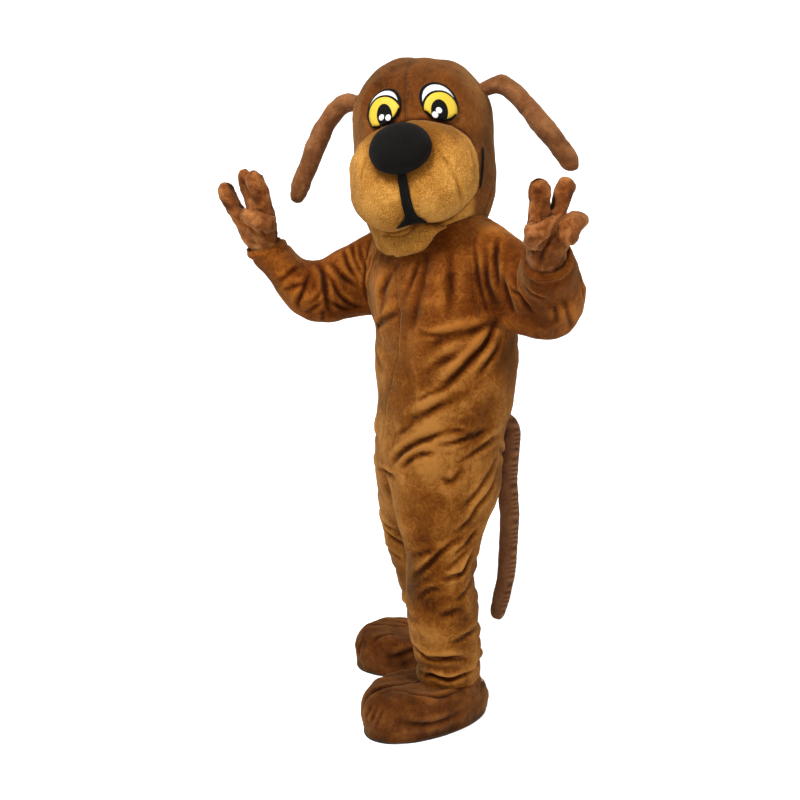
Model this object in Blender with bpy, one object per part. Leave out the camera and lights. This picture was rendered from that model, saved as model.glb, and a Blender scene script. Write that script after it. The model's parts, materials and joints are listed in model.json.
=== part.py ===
"""A dog mascot costume as it is worn: suit with tail, padded head, two gloves and two shoes.

Metres, +Z up, the chest faces -Y and the wearer's left is +X. The tables count heights from the floor.
The origin is where the wearer's shoulders carry the suit, at the middle of its neck opening.
Each surface is lofted through rings and then cut into panels along its seams. A panel is a wall, thickened
inwards along the normals of the whole surface, so that the panels meet cleanly.
"""

import bmesh
import bpy
import numpy as np
from mathutils import Vector
from mathutils.bvhtree import BVHTree

SHOULDER_HEIGHT = 1.42  # from the floor to the origin
PLUSH = 0.005  # backing and short pile together
THIN_PLUSH = 0.0035  # for the gloves
FELT = 0.003  # eyes, stripe and mouth corners
SEAM_GAP = 0.0003  # between two pieces that are sewn together
FIT_GAP = 0.0006  # between a loose piece and what it rests on
SOLE = 0.012  # height of a sole

COLOURS = {  # red, green, blue, roughness
    "brown_plush": (0.24, 0.085, 0.022, 0.95),
    "tan_plush": (0.42, 0.19, 0.055, 0.95),
    "black_cloth": (0.010, 0.009, 0.009, 0.85),
    "eye_cloth": (0.80, 0.55, 0.06, 0.5),
    "red_tab": (0.45, 0.03, 0.02, 0.8),
    "sole_rubber": (0.035, 0.035, 0.037, 0.8),
}

for startup in list(bpy.data.objects):
    bpy.data.objects.remove(startup)

COSTUME = bpy.data.objects.new("costume", None)  # every piece hangs from this empty
COSTUME.location = (0, 0, -SHOULDER_HEIGHT)
bpy.context.scene.collection.objects.link(COSTUME)


# ---------------------------------------------------------------- pieces


def material(name):
    """One Principled material for each finish, made when it is first asked for."""
    made = bpy.data.materials.get(name)
    if made is None:
        red, green, blue, roughness = COLOURS[name]
        made = bpy.data.materials.new(name)
        made.use_nodes = True
        shader = made.node_tree.nodes["Principled BSDF"]
        shader.inputs["Base Color"].default_value = (red, green, blue, 1.0)
        shader.inputs["Roughness"].default_value = roughness
    return made


def piece(name, bm, finish):
    """Turns a closed bmesh into one named piece that hangs from the costume."""
    bmesh.ops.recalc_face_normals(bm, faces=bm.faces)
    mesh = bpy.data.meshes.new(name)
    bm.to_mesh(mesh)
    bm.free()
    mesh.materials.append(material(finish))
    mesh.shade_smooth()
    made = bpy.data.objects.new(name, mesh)
    bpy.context.scene.collection.objects.link(made)
    made.parent = COSTUME
    return made


def surface_of(*pieces):
    """One tree of the faces of these pieces, for finding where a ray meets them."""
    points, faces = [], []
    for made in pieces:
        start = len(points)
        points += [v.co.copy() for v in made.data.vertices]
        made.data.calc_loop_triangles()
        faces += [[start + k for k in face.vertices] for face in made.data.loop_triangles]
    return BVHTree.FromPolygons(points, faces)


def lowered(pieces, below, gap):
    """Lets the pieces straight down until the gap to what is below them is this small. Returns the way down."""
    down, up = Vector((0, 0, -1)), Vector((0, 0, 1))
    own = surface_of(*pieces)
    clear = []
    for made in pieces:
        mesh = made.data
        spots = [v.co for v in mesh.vertices]
        for edge in mesh.edges:
            a, b = (mesh.vertices[k].co for k in edge.vertices)
            spots += [a.lerp(b, share) for share in (0.2, 0.4, 0.6, 0.8)]
        clear += [below.ray_cast(spot, down)[3] for spot in spots]
    for other in suit_pieces.values():
        mesh = other.data
        for edge in mesh.edges:
            a, b = (mesh.vertices[k].co for k in edge.vertices)
            clear += [own.ray_cast(a.lerp(b, share), up, 0.1)[3] for share in (0, 0.25, 0.5, 0.75)]
    drop = min(distance for distance in clear if distance is not None) - gap
    for made in pieces:
        for vertex in made.data.vertices:
            vertex.co.z -= drop
    return drop


# ---------------------------------------------------------------- tables and rings


def table(columns, *rows):
    """Rows of numbers under named columns, as one array for each name."""
    return dict(zip(columns.split(), np.array(rows, float).T))


def along(sections, count):
    """The table with this many rows, on a smooth curve through the given rows."""
    names = list(sections)
    rows = np.array([sections[name] for name in names]).T
    padded = np.vstack([2 * rows[0] - rows[1], rows, 2 * rows[-1] - rows[-2]])
    at = np.linspace(0, len(rows) - 1, count)
    start = np.minimum(at.astype(int), len(rows) - 2)
    t = (at - start)[:, None]
    a, b, c, d = (padded[start + k] for k in range(4))
    smooth = b + 0.5 * t * (c - a + t * (2 * a - 5 * b + 4 * c - d + t * (3 * (b - c) + d - a)))
    return dict(zip(names, smooth.T))


def unit(vector):
    return np.asarray(vector, float) / np.linalg.norm(vector)


def heading(degrees):
    """The level direction that is this far from the chest's, towards the wearer's left."""
    turn = np.radians(degrees)
    return np.array([np.sin(turn), -np.cos(turn), 0.0])


class Frame:
    """A flat ring: its centre, two axes in its plane, a half size along each, and how square it is."""

    def __init__(self, centre, axes, sizes, squareness=0.0):
        self.centre = np.asarray(centre, float)
        self.axes = np.array(axes, float)
        self.sizes = np.array(sizes, float)
        self.power = 1.0 / (1.0 + squareness)

    def points(self, angles):
        ends = np.stack([np.cos(angles), np.sin(angles)], axis=1)
        ends = np.sign(ends) * np.abs(ends) ** self.power
        return self.centre + (ends * self.sizes) @ self.axes

    def angles(self, points):
        ends = (np.asarray(points) - self.centre) @ self.axes.T / self.sizes
        return np.unwrap(np.arctan2(ends[:, 1], ends[:, 0]))


def level_frames(sections):
    """Rings round an upright form. Angle 0 is its front and a quarter turn is the wearer's left."""
    frames = []
    for k, height in enumerate(sections["height"]):
        row = {name: values[k] for name, values in sections.items()}
        front = heading(row["turn"])
        left = np.array([-front[1], front[0], row.get("lean", 0.0)])
        front[2] = row.get("nod", 0.0)
        sizes = (row["half_depth"], row["half_width"])
        frames.append(Frame((row["x"], row["y"], height), (front, left), sizes, row.get("squareness", 0)))
    return frames


def path_frames(sections, side, upright=False):
    """Rings square to a path. A quarter turn is the level way it faces or, for an upright one, its top."""
    path = np.stack([sections[axis] for axis in "xyz"], axis=1)
    frames = []
    for centre, tangent, facing, across, through in zip(
        path,
        np.gradient(path, axis=0),
        sections["facing"],
        sections["half_across"],
        sections["half_through"],
    ):
        tangent = unit(tangent)
        front = np.array([0, 0, 1.0]) if upright else heading(facing)
        front = unit(front - tangent * (front @ tangent))
        frames.append(Frame(centre, (side * np.cross(front, tangent), front), (across, through)))
    return frames


def edge_frames(sections, side):
    """Rings of a bent sleeve, each between two edges. Angle 0 is the crook's edge, a quarter turn is forwards."""
    crook = np.stack([sections[f"crook_{axis}"] for axis in "xyz"], axis=1)
    elbow = np.stack([sections[f"elbow_{axis}"] for axis in "xyz"], axis=1)
    middle = (crook + elbow) / 2
    frames = []
    for centre, across, tangent, through in zip(
        middle, (crook - elbow) / 2, np.gradient(middle, axis=0), sections["half_through"]
    ):
        front = unit(side * np.cross(tangent, across))
        frames.append(Frame(centre, (unit(across), front), (np.linalg.norm(across), through)))
    return frames


# ---------------------------------------------------------------- cloth


class Cloth:
    """A surface of quads that share their points across seams. Each face belongs to a named panel."""

    def __init__(self):
        self.bm = bmesh.new()
        self.panel_of = {}

    def ring(self, points):
        return [self.bm.verts.new(p) for p in points]

    def band(self, first, second, panels):
        """Quads between two closed rings. A column with no panel is left open."""
        for j, panel in enumerate(panels):
            if panel is not None:
                k = (j + 1) % len(first)
                made = self.bm.faces.new([first[j], second[j], second[k], first[k]])
                self.panel_of[made] = panel

    def cap(self, ring, tip, panels):
        """Triangles from a closed ring to one point."""
        point = self.bm.verts.new(tip)
        for j, corner in enumerate(ring):
            made = self.bm.faces.new([corner, point, ring[(j + 1) % len(ring)]])
            self.panel_of[made] = panels[j]

    def loft(self, loop, frames, panels, settle=4):
        """Rings from a loop through the frames. The loop's own shape fades into theirs over the first rings."""
        start = np.array([v.co for v in loop])
        angles = frames[0].angles(start)
        even = np.arange(len(loop)) * np.sign(angles[-1] - angles[0]) * 2 * np.pi / len(loop)
        even += np.mean(angles - even)
        rings = [loop]
        for k, frame in enumerate(frames[1:], 1):
            share = min(1.0, k / settle)
            share *= share * (3 - 2 * share)
            carried = start + frame.centre - frames[0].centre
            rings.append(self.ring(carried * (1 - share) + frame.points(even) * share))
            self.band(rings[-2], rings[-1], panels)
        return rings

    def relax(self, seam, reach, rounds):
        """Softens the surface near a seam: each point moves half way to the middle of its neighbours."""
        near = set(seam)
        for _ in range(reach):
            near |= {edge.other_vert(v) for v in near for edge in v.link_edges}
        near = [v for v in near if not v.is_boundary]
        for _ in range(rounds):
            bmesh.ops.smooth_vert(
                self.bm, verts=near, factor=0.5, use_axis_x=True, use_axis_y=True, use_axis_z=True
            )

    def finish(self, inside, folds=()):
        """Faces all outwards, then the folds pressed in. inside is a point within the form."""
        bmesh.ops.recalc_face_normals(self.bm, faces=self.bm.faces)
        centre = Vector(inside)
        if sum(f.normal.dot(f.calc_center_median() - centre) for f in self.bm.faces) < 0:
            bmesh.ops.reverse_faces(self.bm, faces=self.bm.faces)
        self.bm.normal_update()
        if folds:
            points = np.array([v.co for v in self.bm.verts])
            normals = np.array([v.normal for v in self.bm.verts])
            depth = sum(fold_depth(points, **fold) for fold in folds)
            for vertex, moved in zip(self.bm.verts, points - normals * depth[:, None]):
                vertex.co = moved
            self.bm.normal_update()

    def wall(self, panel, thickness=PLUSH, gap=SEAM_GAP):
        """The panel as a closed wall. Along a seam it stands half the gap back from the seam's line."""
        faces = [f for f, name in self.panel_of.items() if name == panel]
        own = set(faces)
        ways = {}
        for face in faces:
            for edge in face.edges:
                if len(edge.link_faces) == 2 and not own.issuperset(edge.link_faces):
                    line = (edge.verts[1].co - edge.verts[0].co).normalized()
                    inwards = face.calc_center_median() - edge.verts[0].co
                    inwards = (inwards - line * inwards.dot(line)).normalized()
                    for vertex in edge.verts:
                        ways.setdefault(vertex, []).append(inwards)
        bm = bmesh.new()
        outer, inner = {}, {}
        for vertex in {v: None for f in faces for v in f.verts}:
            top = vertex.co.copy()
            if vertex in ways:
                mean = sum(ways[vertex], Vector()) / len(ways[vertex])
                top += mean * (0.5 * gap / max(mean.length_squared, 0.3))
            outer[vertex] = bm.verts.new(top)
            inner[vertex] = bm.verts.new(top - vertex.normal * thickness)
        for face in faces:
            bm.faces.new([outer[v] for v in face.verts])
            bm.faces.new([inner[v] for v in reversed(face.verts)])
            for loop in face.loops:
                if not any(f in own for f in loop.edge.link_faces if f is not face):
                    # Both panels split this quad on the same diagonal, so their edges never cross.
                    a, b = sorted((loop.vert, loop.link_loop_next.vert), key=lambda v: v.co[:])
                    bm.faces.new([outer[a], outer[b], inner[a]])
                    bm.faces.new([outer[b], inner[b], inner[a]])
        return bm

    def inner(self, ring, gap=FIT_GAP):
        """The ring's points carried through the cloth to a gap inside it, for what the cloth is worn over."""
        return [np.array(v.co - v.normal * (PLUSH + gap)) for v in ring]


def fold_depth(points, depth, width, line):
    """How far each point sinks into one fold: a soft trough along a line of two or more places."""
    places = np.array(line, float)
    spans = np.linalg.norm(np.diff(places, axis=0), axis=1)
    reached = np.concatenate([[0], np.cumsum(spans)])
    nearest = np.full(len(points), np.inf)
    where = np.zeros(len(points))
    for k, span in enumerate(spans):
        way = (places[k + 1] - places[k]) / span
        run = np.clip((points - places[k]) @ way, 0, span)
        off = np.linalg.norm(points - places[k] - np.outer(run, way), axis=1)
        closer = off < nearest
        nearest[closer] = off[closer]
        where[closer] = (reached[k] + run[closer]) / reached[-1]
    return depth * np.sin(np.pi * (0.08 + 0.84 * where)) ** 0.7 * np.exp(-((nearest / width) ** 2))


def outline_loop(rings, first, last, left, right):
    """The closed edge of a block of faces, from the middle of its first row towards its left."""
    middle = (left + right) // 2
    count = len(rings[0])
    top = [rings[first][j % count] for j in range(middle, left, -1)]
    down = [rings[k][left % count] for k in range(first, last)]
    bottom = [rings[last][j % count] for j in range(left, right)]
    up = [rings[k][right % count] for k in range(last, first, -1)]
    rest = [rings[first][j % count] for j in range(right, middle, -1)]
    return top + down + bottom + up + rest


# ---------------------------------------------------------------- stuffed and flat pieces


def solid_of(outer, base, tip, heel):
    """A closed body between rings from a rim to a middle point, on its outer side and on its base."""
    bm = bmesh.new()
    sides = []
    for rings, middle in ((outer, tip), (base, heel)):
        rows = [[bm.verts.new(p) for p in ring] for ring in rings]
        centre = bm.verts.new(middle)
        for first, second in zip(rows, rows[1:]):
            for j in range(len(first)):
                k = (j + 1) % len(first)
                bm.faces.new([first[j], first[k], second[k]])
                bm.faces.new([first[j], second[k], second[j]])
        for j, corner in enumerate(rows[-1]):
            bm.faces.new([corner, rows[-1][(j + 1) % len(rows[-1])], centre])
        sides.append(rows)
    for j in range(len(outer[0])):
        k = (j + 1) % len(outer[0])
        bm.faces.new([sides[0][0][j], sides[1][0][j], sides[1][0][k], sides[0][0][k]])
    return bm


def evenly(outline, count):
    """This many places at even distances along an open line."""
    outline = np.array(outline, float)
    reached = np.concatenate([[0], np.cumsum(np.linalg.norm(np.diff(outline, axis=0), axis=1))])
    at = np.linspace(0, reached[-1], count)
    return np.stack([np.interp(at, reached, outline[:, k]) for k in (0, 1)], axis=1)


class Face:
    """Lays pieces on the head along rays from a point inside it. Outlines are in metres at the skull's front."""

    def __init__(self, source, axes, reach):
        self.source, self.axes, self.reach = np.asarray(source), np.asarray(axes), reach

    def way(self, across, up):
        left, front, top = self.axes
        return unit(front * self.reach + left * across + top * up)

    def hit(self, carrier, across, up):
        """How far along its ray the carrier's outermost surface lies. Two rays, as one may slip into a seam."""
        far = 0.0
        for beside in (-0.0005, 0.0005):
            way = self.way(across + beside, up)
            found = carrier.ray_cast(Vector(self.source + way * 0.9), Vector(-way), 0.9)
            if found[3] is not None:
                far = max(far, 0.9 - found[3])
        return far

    def place(self, across, up, distance):
        return self.source + self.way(across, up) * distance

    def over(self, carrier, point):
        """How far a point stands above the carrier, along the ray through it."""
        way = unit(point - self.source)
        left, front, top = self.axes
        across, up = (way @ axis / (way @ front) * self.reach for axis in (left, top))
        return np.linalg.norm(point - self.source) - self.hit(carrier, across, up)

    def seated(self, carrier, spots, faces, gap):
        """Distances for these places, such that no triangle of them comes closer to the carrier than the gap."""
        reach = np.array([self.hit(carrier, *spot) + gap for spot in spots])
        ways = np.array([self.way(*spot) for spot in spots])
        shares = [(a, b, 4 - a - b) for a in range(5) for b in range(5 - a) if max(a, b, 4 - a - b) < 4]
        for _ in range(4):
            lift = np.zeros(len(spots))
            for corners in faces:
                points = self.source + ways[corners] * reach[corners, None]
                probes = np.array(shares) / 4 @ points
                short = gap - min(self.over(carrier, probe) for probe in probes)
                lift[corners] = np.maximum(lift[corners], short)
            reach += lift
        return reach

    def pad(self, carrier, outline, middle, height, rim, gap=FIT_GAP, shares=(1, 0.9, 0.7, 0.4)):
        """A stuffed piece on the carrier: its outline, its middle and how high it stands at each place."""
        outline, middle = np.asarray(outline), np.asarray(middle)
        count = len(outline)
        spots = np.vstack([middle + (outline - middle) * share for share in shares] + [middle])
        faces = []
        for j in range(count):
            k = (j + 1) % count
            for row in range(0, count * (len(shares) - 1), count):
                faces += [[row + j, row + k, row + count + k], [row + j, row + count + k, row + count + j]]
            faces.append([len(spots) - 1 - count + j, len(spots) - 1 - count + k, len(spots) - 1])
        reach = self.seated(carrier, spots, faces, gap)
        feet = [self.place(*spot, far) for spot, far in zip(spots, reach)]
        tops = [self.place(*spot, far + rim + height(*spot)) for spot, far in zip(spots, reach)]
        rings = range(0, count * len(shares), count)
        return solid_of([tops[r : r + count] for r in rings], [feet[r : r + count] for r in rings], tops[-1], feet[-1])

    def strip(self, carrier, line, width_count, thickness, gap=FIT_GAP, upright=False):
        """A strip on the carrier, along a line with across, up and half_width columns.

        Its columns stand square to the line, or all upright. thickness(across, up) is its height at a place.
        """
        path = np.stack([line["across"], line["up"]], axis=1)
        along_path = np.gradient(path, axis=0)
        spots = []
        for place, way, half in zip(path, along_path, line["half_width"]):
            normal = np.array([0.0, 1.0]) if upright else unit([-way[1], way[0]])
            spots += [place + normal * half * s for s in np.linspace(-1, 1, width_count)]
        last = width_count - 1
        faces = []
        for a in range(0, width_count * (len(path) - 1), width_count):
            for j in range(a, a + last):
                faces += [[j, j + 1, j + 1 + width_count], [j, j + 1 + width_count, j + width_count]]
        reach = self.seated(carrier, np.array(spots), faces, gap)
        bm = bmesh.new()
        layers = []
        for part in (1, 0):
            made = [
                bm.verts.new(self.place(*spot, far + part * thickness(*spot)))
                for spot, far in zip(spots, reach)
            ]
            layers.append([made[a : a + width_count] for a in range(0, len(made), width_count)])
        top, foot = layers
        for a in range(len(path) - 1):
            for j in range(last):
                for layer in layers:
                    bm.faces.new([layer[a][j], layer[a][j + 1], layer[a + 1][j + 1]])
                    bm.faces.new([layer[a][j], layer[a + 1][j + 1], layer[a + 1][j]])
            for j in (0, last):
                bm.faces.new([top[a][j], top[a + 1][j], foot[a + 1][j], foot[a][j]])
        for a in (0, len(path) - 1):
            for j in range(last):
                bm.faces.new([top[a][j], top[a][j + 1], foot[a][j + 1], foot[a][j]])
        return bm


def stuffed_tube(sections, side, columns, rows, carrier, inwards):
    """A stuffed tube with a rounded tip. Its root is cut to the carrier's surface, which lies inwards of it."""
    frames = path_frames(along(sections, rows), side)
    angles = np.linspace(0, 2 * np.pi, columns, endpoint=False)
    rings = [frame.points(angles) for frame in frames]
    inwards = unit(inwards)

    def root(point):
        found = carrier.ray_cast(Vector(point - inwards * 0.05), Vector(inwards), 0.3)
        return np.array(found[0]) - inwards * 0.001

    rings[0] = [root(p) for p in rings[0]]
    tip = frames[-1].centre + (frames[-1].centre - frames[-2].centre) * 0.35
    return tube_body(rings, tip, root(frames[0].centre + (0.002, 0.002, 0.002)) - inwards * 0.003)


def tube_body(rings, tip, heel):
    """A closed body through rings, with a point at each end."""
    bm = bmesh.new()
    rows = [[bm.verts.new(p) for p in ring] for ring in rings]
    ends = [bm.verts.new(heel), bm.verts.new(tip)]
    for first, second in zip(rows, rows[1:]):
        for j in range(len(first)):
            k = (j + 1) % len(first)
            bm.faces.new([first[j], first[k], second[k], second[j]])
    for row, end in ((rows[0], ends[0]), (rows[-1], ends[1])):
        for j, corner in enumerate(row):
            bm.faces.new([corner, row[(j + 1) % len(row)], end])
    return bm


# ---------------------------------------------------------------- the suit

COLUMNS = 40  # round the body: front at 0, wearer's left at 10, back at 20
SLEEVE_ROWS = (3, 9)  # the torso rows between which a sleeve is set in
SLEEVE_HALF = 3  # columns each side of the side seam

TORSO = table(  # lean: rise of the ring towards the wearer's left
    "height x y half_width half_depth turn squareness lean",
    (1.470, 0.004, 0.010, 0.098, 0.090, 0, 0.0, 0.10),
    (1.456, 0.004, 0.008, 0.112, 0.102, 0, 0.0, 0.12),
    (1.448, 0.004, 0.007, 0.158, 0.118, -1, 0.0, 0.07),
    (1.430, 0.005, 0.006, 0.190, 0.130, -2, 0.05, 0.07),
    (1.382, 0.008, 0.007, 0.203, 0.140, -3, 0.08, 0.09),
    (1.327, 0.010, 0.009, 0.210, 0.147, -3, 0.10, 0.11),
    (1.293, 0.013, 0.012, 0.214, 0.153, -4, 0.10, 0.09),
    (1.260, 0.016, 0.014, 0.217, 0.158, -4, 0.10, 0.07),
    (1.226, 0.020, 0.016, 0.220, 0.162, -5, 0.10, 0.05),
    (1.190, 0.026, 0.022, 0.225, 0.167, -5, 0.08, 0.03),
    (1.140, 0.033, 0.029, 0.231, 0.173, -7, 0.05, 0.01),
    (1.080, 0.036, 0.031, 0.234, 0.179, -10, 0.03, 0.00),
    (1.015, 0.034, 0.029, 0.232, 0.184, -15, 0.02, 0.00),
    (0.930, 0.030, 0.025, 0.223, 0.185, -21, 0.02, 0.00),
    (0.858, 0.025, 0.020, 0.216, 0.182, -25, 0.02, 0.00),
    (0.798, 0.023, 0.018, 0.210, 0.180, -26, 0.04, 0.00),
    (0.750, 0.022, 0.018, 0.204, 0.177, -26, 0.06, 0.00),
)

LEG_LEFT = table(
    "height x y half_width half_depth turn",
    (0.740, 0.110, -0.030, 0.096, 0.156, -26),
    (0.690, 0.110, -0.032, 0.094, 0.148, -26),
    (0.620, 0.104, -0.041, 0.092, 0.124, -25),
    (0.550, 0.098, -0.051, 0.091, 0.104, -24),
    (0.480, 0.098, -0.058, 0.096, 0.103, -23),
    (0.400, 0.097, -0.057, 0.100, 0.106, -22),
    (0.310, 0.096, -0.049, 0.100, 0.105, -20),
    (0.225, 0.098, -0.036, 0.098, 0.103, -19),
    (0.190, 0.099, -0.030, 0.096, 0.100, -18),
    (0.167, 0.100, -0.027, 0.084, 0.088, -18),
    (0.145, 0.100, -0.025, 0.092, 0.097, -18),
    (0.124, 0.100, -0.024, 0.090, 0.095, -18),
)

LEG_RIGHT = table(
    "height x y half_width half_depth turn",
    (0.740, -0.068, 0.065, 0.098, 0.156, -26),
    (0.690, -0.079, 0.068, 0.100, 0.148, -27),
    (0.620, -0.096, 0.075, 0.102, 0.134, -29),
    (0.550, -0.114, 0.086, 0.102, 0.120, -31),
    (0.480, -0.122, 0.100, 0.100, 0.112, -34),
    (0.400, -0.127, 0.122, 0.098, 0.106, -38),
    (0.310, -0.126, 0.154, 0.096, 0.101, -41),
    (0.225, -0.127, 0.190, 0.094, 0.099, -44),
    (0.190, -0.128, 0.204, 0.092, 0.097, -45),
    (0.167, -0.129, 0.212, 0.082, 0.086, -46),
    (0.145, -0.130, 0.218, 0.090, 0.095, -46),
    (0.124, -0.130, 0.220, 0.088, 0.093, -46),
)

# A row for each ring: its edge in the crook of the arm, its edge on the elbow's side, and its half depth.
SLEEVE_LEFT = table(
    "crook_x crook_y crook_z elbow_x elbow_y elbow_z half_through",
    (0.200, 0.004, 1.440, 0.252, 0.020, 1.188, 0.070),
    (0.244, 0.000, 1.426, 0.282, 0.052, 1.154, 0.078),
    (0.282, -0.012, 1.398, 0.324, 0.086, 1.126, 0.084),
    (0.308, -0.026, 1.364, 0.378, 0.106, 1.126, 0.088),
    (0.322, -0.040, 1.338, 0.426, 0.104, 1.168, 0.089),
    (0.334, -0.056, 1.320, 0.456, 0.080, 1.232, 0.086),
    (0.350, -0.078, 1.319, 0.472, 0.036, 1.288, 0.080),
    (0.372, -0.104, 1.334, 0.488, -0.020, 1.332, 0.074),
    (0.390, -0.132, 1.360, 0.504, -0.066, 1.370, 0.066),
)

SLEEVE_RIGHT = table(
    "crook_x crook_y crook_z elbow_x elbow_y elbow_z half_through",
    (-0.196, 0.004, 1.432, -0.226, 0.008, 1.186, 0.070),
    (-0.234, -0.026, 1.420, -0.250, -0.040, 1.172, 0.074),
    (-0.268, -0.066, 1.380, -0.280, -0.085, 1.152, 0.078),
    (-0.296, -0.110, 1.338, -0.312, -0.135, 1.142, 0.080),
    (-0.318, -0.148, 1.332, -0.346, -0.178, 1.166, 0.080),
    (-0.328, -0.176, 1.336, -0.376, -0.218, 1.216, 0.078),
    (-0.334, -0.198, 1.350, -0.398, -0.252, 1.268, 0.072),
    (-0.344, -0.218, 1.374, -0.414, -0.286, 1.318, 0.066),
    (-0.356, -0.236, 1.396, -0.426, -0.316, 1.356, 0.060),
)

CROTCH_SEGMENTS = 6
CROTCH_DIP = 0.035

suit = Cloth()
around = np.linspace(0, 2 * np.pi, COLUMNS, endpoint=False)
torso_rings = [suit.ring(frame.points(around)) for frame in level_frames(TORSO)]
quarter = COLUMNS // 4
body_panels = (
    ["suit_front_left"] * quarter
    + ["suit_back_left"] * quarter
    + ["suit_back_right"] * quarter
    + ["suit_front_right"] * quarter
)
for k, (upper, lower) in enumerate(zip(torso_rings, torso_rings[1:])):
    row_panels = list(body_panels)
    if SLEEVE_ROWS[0] <= k < SLEEVE_ROWS[1]:
        for side_seam in (quarter, 3 * quarter):
            for j in range(side_seam - SLEEVE_HALF, side_seam + SLEEVE_HALF):
                row_panels[j] = None
    suit.band(upper, lower, row_panels)

sleeve_rings = {}
armholes = []
for side, seam, sections, sign in (
    ("left", quarter, SLEEVE_LEFT, 1),
    ("right", 3 * quarter, SLEEVE_RIGHT, -1),
):
    hole = outline_loop(torso_rings, *SLEEVE_ROWS, seam - SLEEVE_HALF, seam + SLEEVE_HALF)
    if sign < 0:  # towards the front on both sides
        hole = hole[:1] + hole[:0:-1]
    armholes += hole
    frames = edge_frames(along(sections, 11), sign)
    sleeve_rings[side] = suit.loft(hole, frames, [f"sleeve_{side}"] * len(hole))

hips = torso_rings[-1]
front, back = hips[0].co, hips[2 * quarter].co
share = np.linspace(0, 1, CROTCH_SEGMENTS + 1)[1:-1]
crotch = suit.ring(
    [front.lerp(back, t) - Vector((0, 0, CROTCH_DIP * np.sin(np.pi * t) ** 0.7)) for t in share]
)
half = CROTCH_SEGMENTS // 2
leg_rings = {}
leg_rings["left"] = suit.loft(
    hips[: 2 * quarter + 1] + crotch[::-1],
    level_frames(LEG_LEFT),
    ["suit_front_left"] * quarter
    + ["suit_back_left"] * (quarter + half)
    + ["suit_front_left"] * half,
)
leg_rings["right"] = suit.loft(
    hips[2 * quarter :] + hips[:1] + crotch,
    level_frames(LEG_RIGHT),
    ["suit_back_right"] * quarter
    + ["suit_front_right"] * (quarter + half)
    + ["suit_back_right"] * half,
)
suit.relax(armholes, 2, 4)
suit.relax(crotch, 1, 2)
suit.relax(sleeve_rings["left"][5], 2, 2)

FOLDS = {  # the largest troughs, each through three places; their half widths are FOLD_WIDTH
    "under_arm_left": (0.012, (0.262, -0.040, 1.160), (0.210, -0.103, 1.070), (0.165, -0.137, 1.005)),
    "under_arm_right": (0.012, (-0.200, -0.060, 1.150), (-0.120, -0.110, 1.100), (-0.040, -0.142, 1.075)),
    "belly": (0.014, (0.004, -0.164, 0.784), (0.091, -0.166, 0.851), (0.190, -0.115, 0.895)),
    "belly_right": (0.008, (-0.160, -0.090, 0.900), (-0.110, -0.130, 0.865), (-0.040, -0.160, 0.850)),
    "seat_left": (0.010, (0.228, 0.020, 0.890), (0.200, 0.130, 0.865), (0.130, 0.180, 0.850)),
    "seat_right": (0.010, (-0.010, 0.205, 0.850), (-0.090, 0.180, 0.865), (-0.160, 0.100, 0.900)),
    "waist_back": (0.009, (-0.120, 0.160, 1.040), (0.030, 0.205, 1.000), (0.170, 0.165, 1.045)),
    "knee_left": (0.010, (0.065, -0.156, 0.453), (0.153, -0.131, 0.545), (0.193, -0.071, 0.588)),
    "knee_back_left": (0.010, (0.190, -0.060, 0.480), (0.150, 0.030, 0.500), (0.080, 0.050, 0.560)),
    "knee_right": (0.010, (-0.210, 0.040, 0.580), (-0.150, -0.010, 0.530), (-0.050, 0.020, 0.470)),
    "knee_back_right": (0.010, (-0.220, 0.120, 0.490), (-0.140, 0.200, 0.500), (-0.050, 0.170, 0.560)),
    "elbow_left": (0.008, (0.330, 0.000, 1.290), (0.350, 0.060, 1.220), (0.370, 0.090, 1.160)),
    "elbow_right": (0.008, (-0.290, -0.060, 1.290), (-0.320, -0.090, 1.230), (-0.330, -0.120, 1.160)),
}
FOLD_WIDTH = 0.026
suit.finish(
    (0, 0, 1.0), [{"depth": depth, "width": FOLD_WIDTH, "line": line} for depth, *line in FOLDS.values()]
)

suit_pieces = {
    name: piece(name, suit.wall(name), "brown_plush")
    for name in (
        "suit_front_left",
        "suit_front_right",
        "suit_back_left",
        "suit_back_right",
        "sleeve_left",
        "sleeve_right",
    )
}

# The tail hangs from the centre back seam.
TAIL = table(
    "x y z facing half_across half_through",
    (0.104, 0.197, 0.870, 60, 0.020, 0.020),
    (0.121, 0.240, 0.840, 60, 0.028, 0.028),
    (0.117, 0.237, 0.760, 60, 0.030, 0.030),
    (0.111, 0.239, 0.664, 60, 0.031, 0.031),
    (0.116, 0.250, 0.560, 60, 0.030, 0.030),
    (0.113, 0.249, 0.450, 60, 0.029, 0.029),
    (0.112, 0.240, 0.345, 60, 0.027, 0.027),
    (0.103, 0.222, 0.262, 60, 0.025, 0.025),
    (0.100, 0.216, 0.232, 60, 0.019, 0.019),
    (0.099, 0.213, 0.222, 60, 0.010, 0.010),
)
suit_surface = surface_of(*suit_pieces.values())
into_seat = heading(-26)
piece("tail", stuffed_tube(TAIL, 1, 8, 19, suit_surface, into_seat), "brown_plush")

# ---------------------------------------------------------------- the head

HEAD_BASE = np.array([0.000, 0.002, 1.400])  # where the head turns and tilts
HEAD_TURN = 28.0  # towards the wearer's left
HEAD_TILT = 5.0  # the wearer's left side up
HEAD_COLUMNS = 32
FACE_TILT = 8.0  # of what is sewn on the face


def head_axes(tilt):
    """The head's left, front and top when its wearer's left side is lifted this many degrees."""
    front = heading(HEAD_TURN)
    left = np.array([-front[1], front[0], 0.0])
    tilt = np.radians(tilt)
    top = np.array([0, 0, 1.0])
    return left * np.cos(tilt) + top * np.sin(tilt), front, top * np.cos(tilt) - left * np.sin(tilt)


HEAD_LEFT, HEAD_FRONT, HEAD_TOP = head_axes(HEAD_TILT)


def on_head(left, front, top):
    """A place in the head's own directions, from the base of the head."""
    return HEAD_BASE + HEAD_LEFT * left + HEAD_FRONT * front + HEAD_TOP * top


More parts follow.
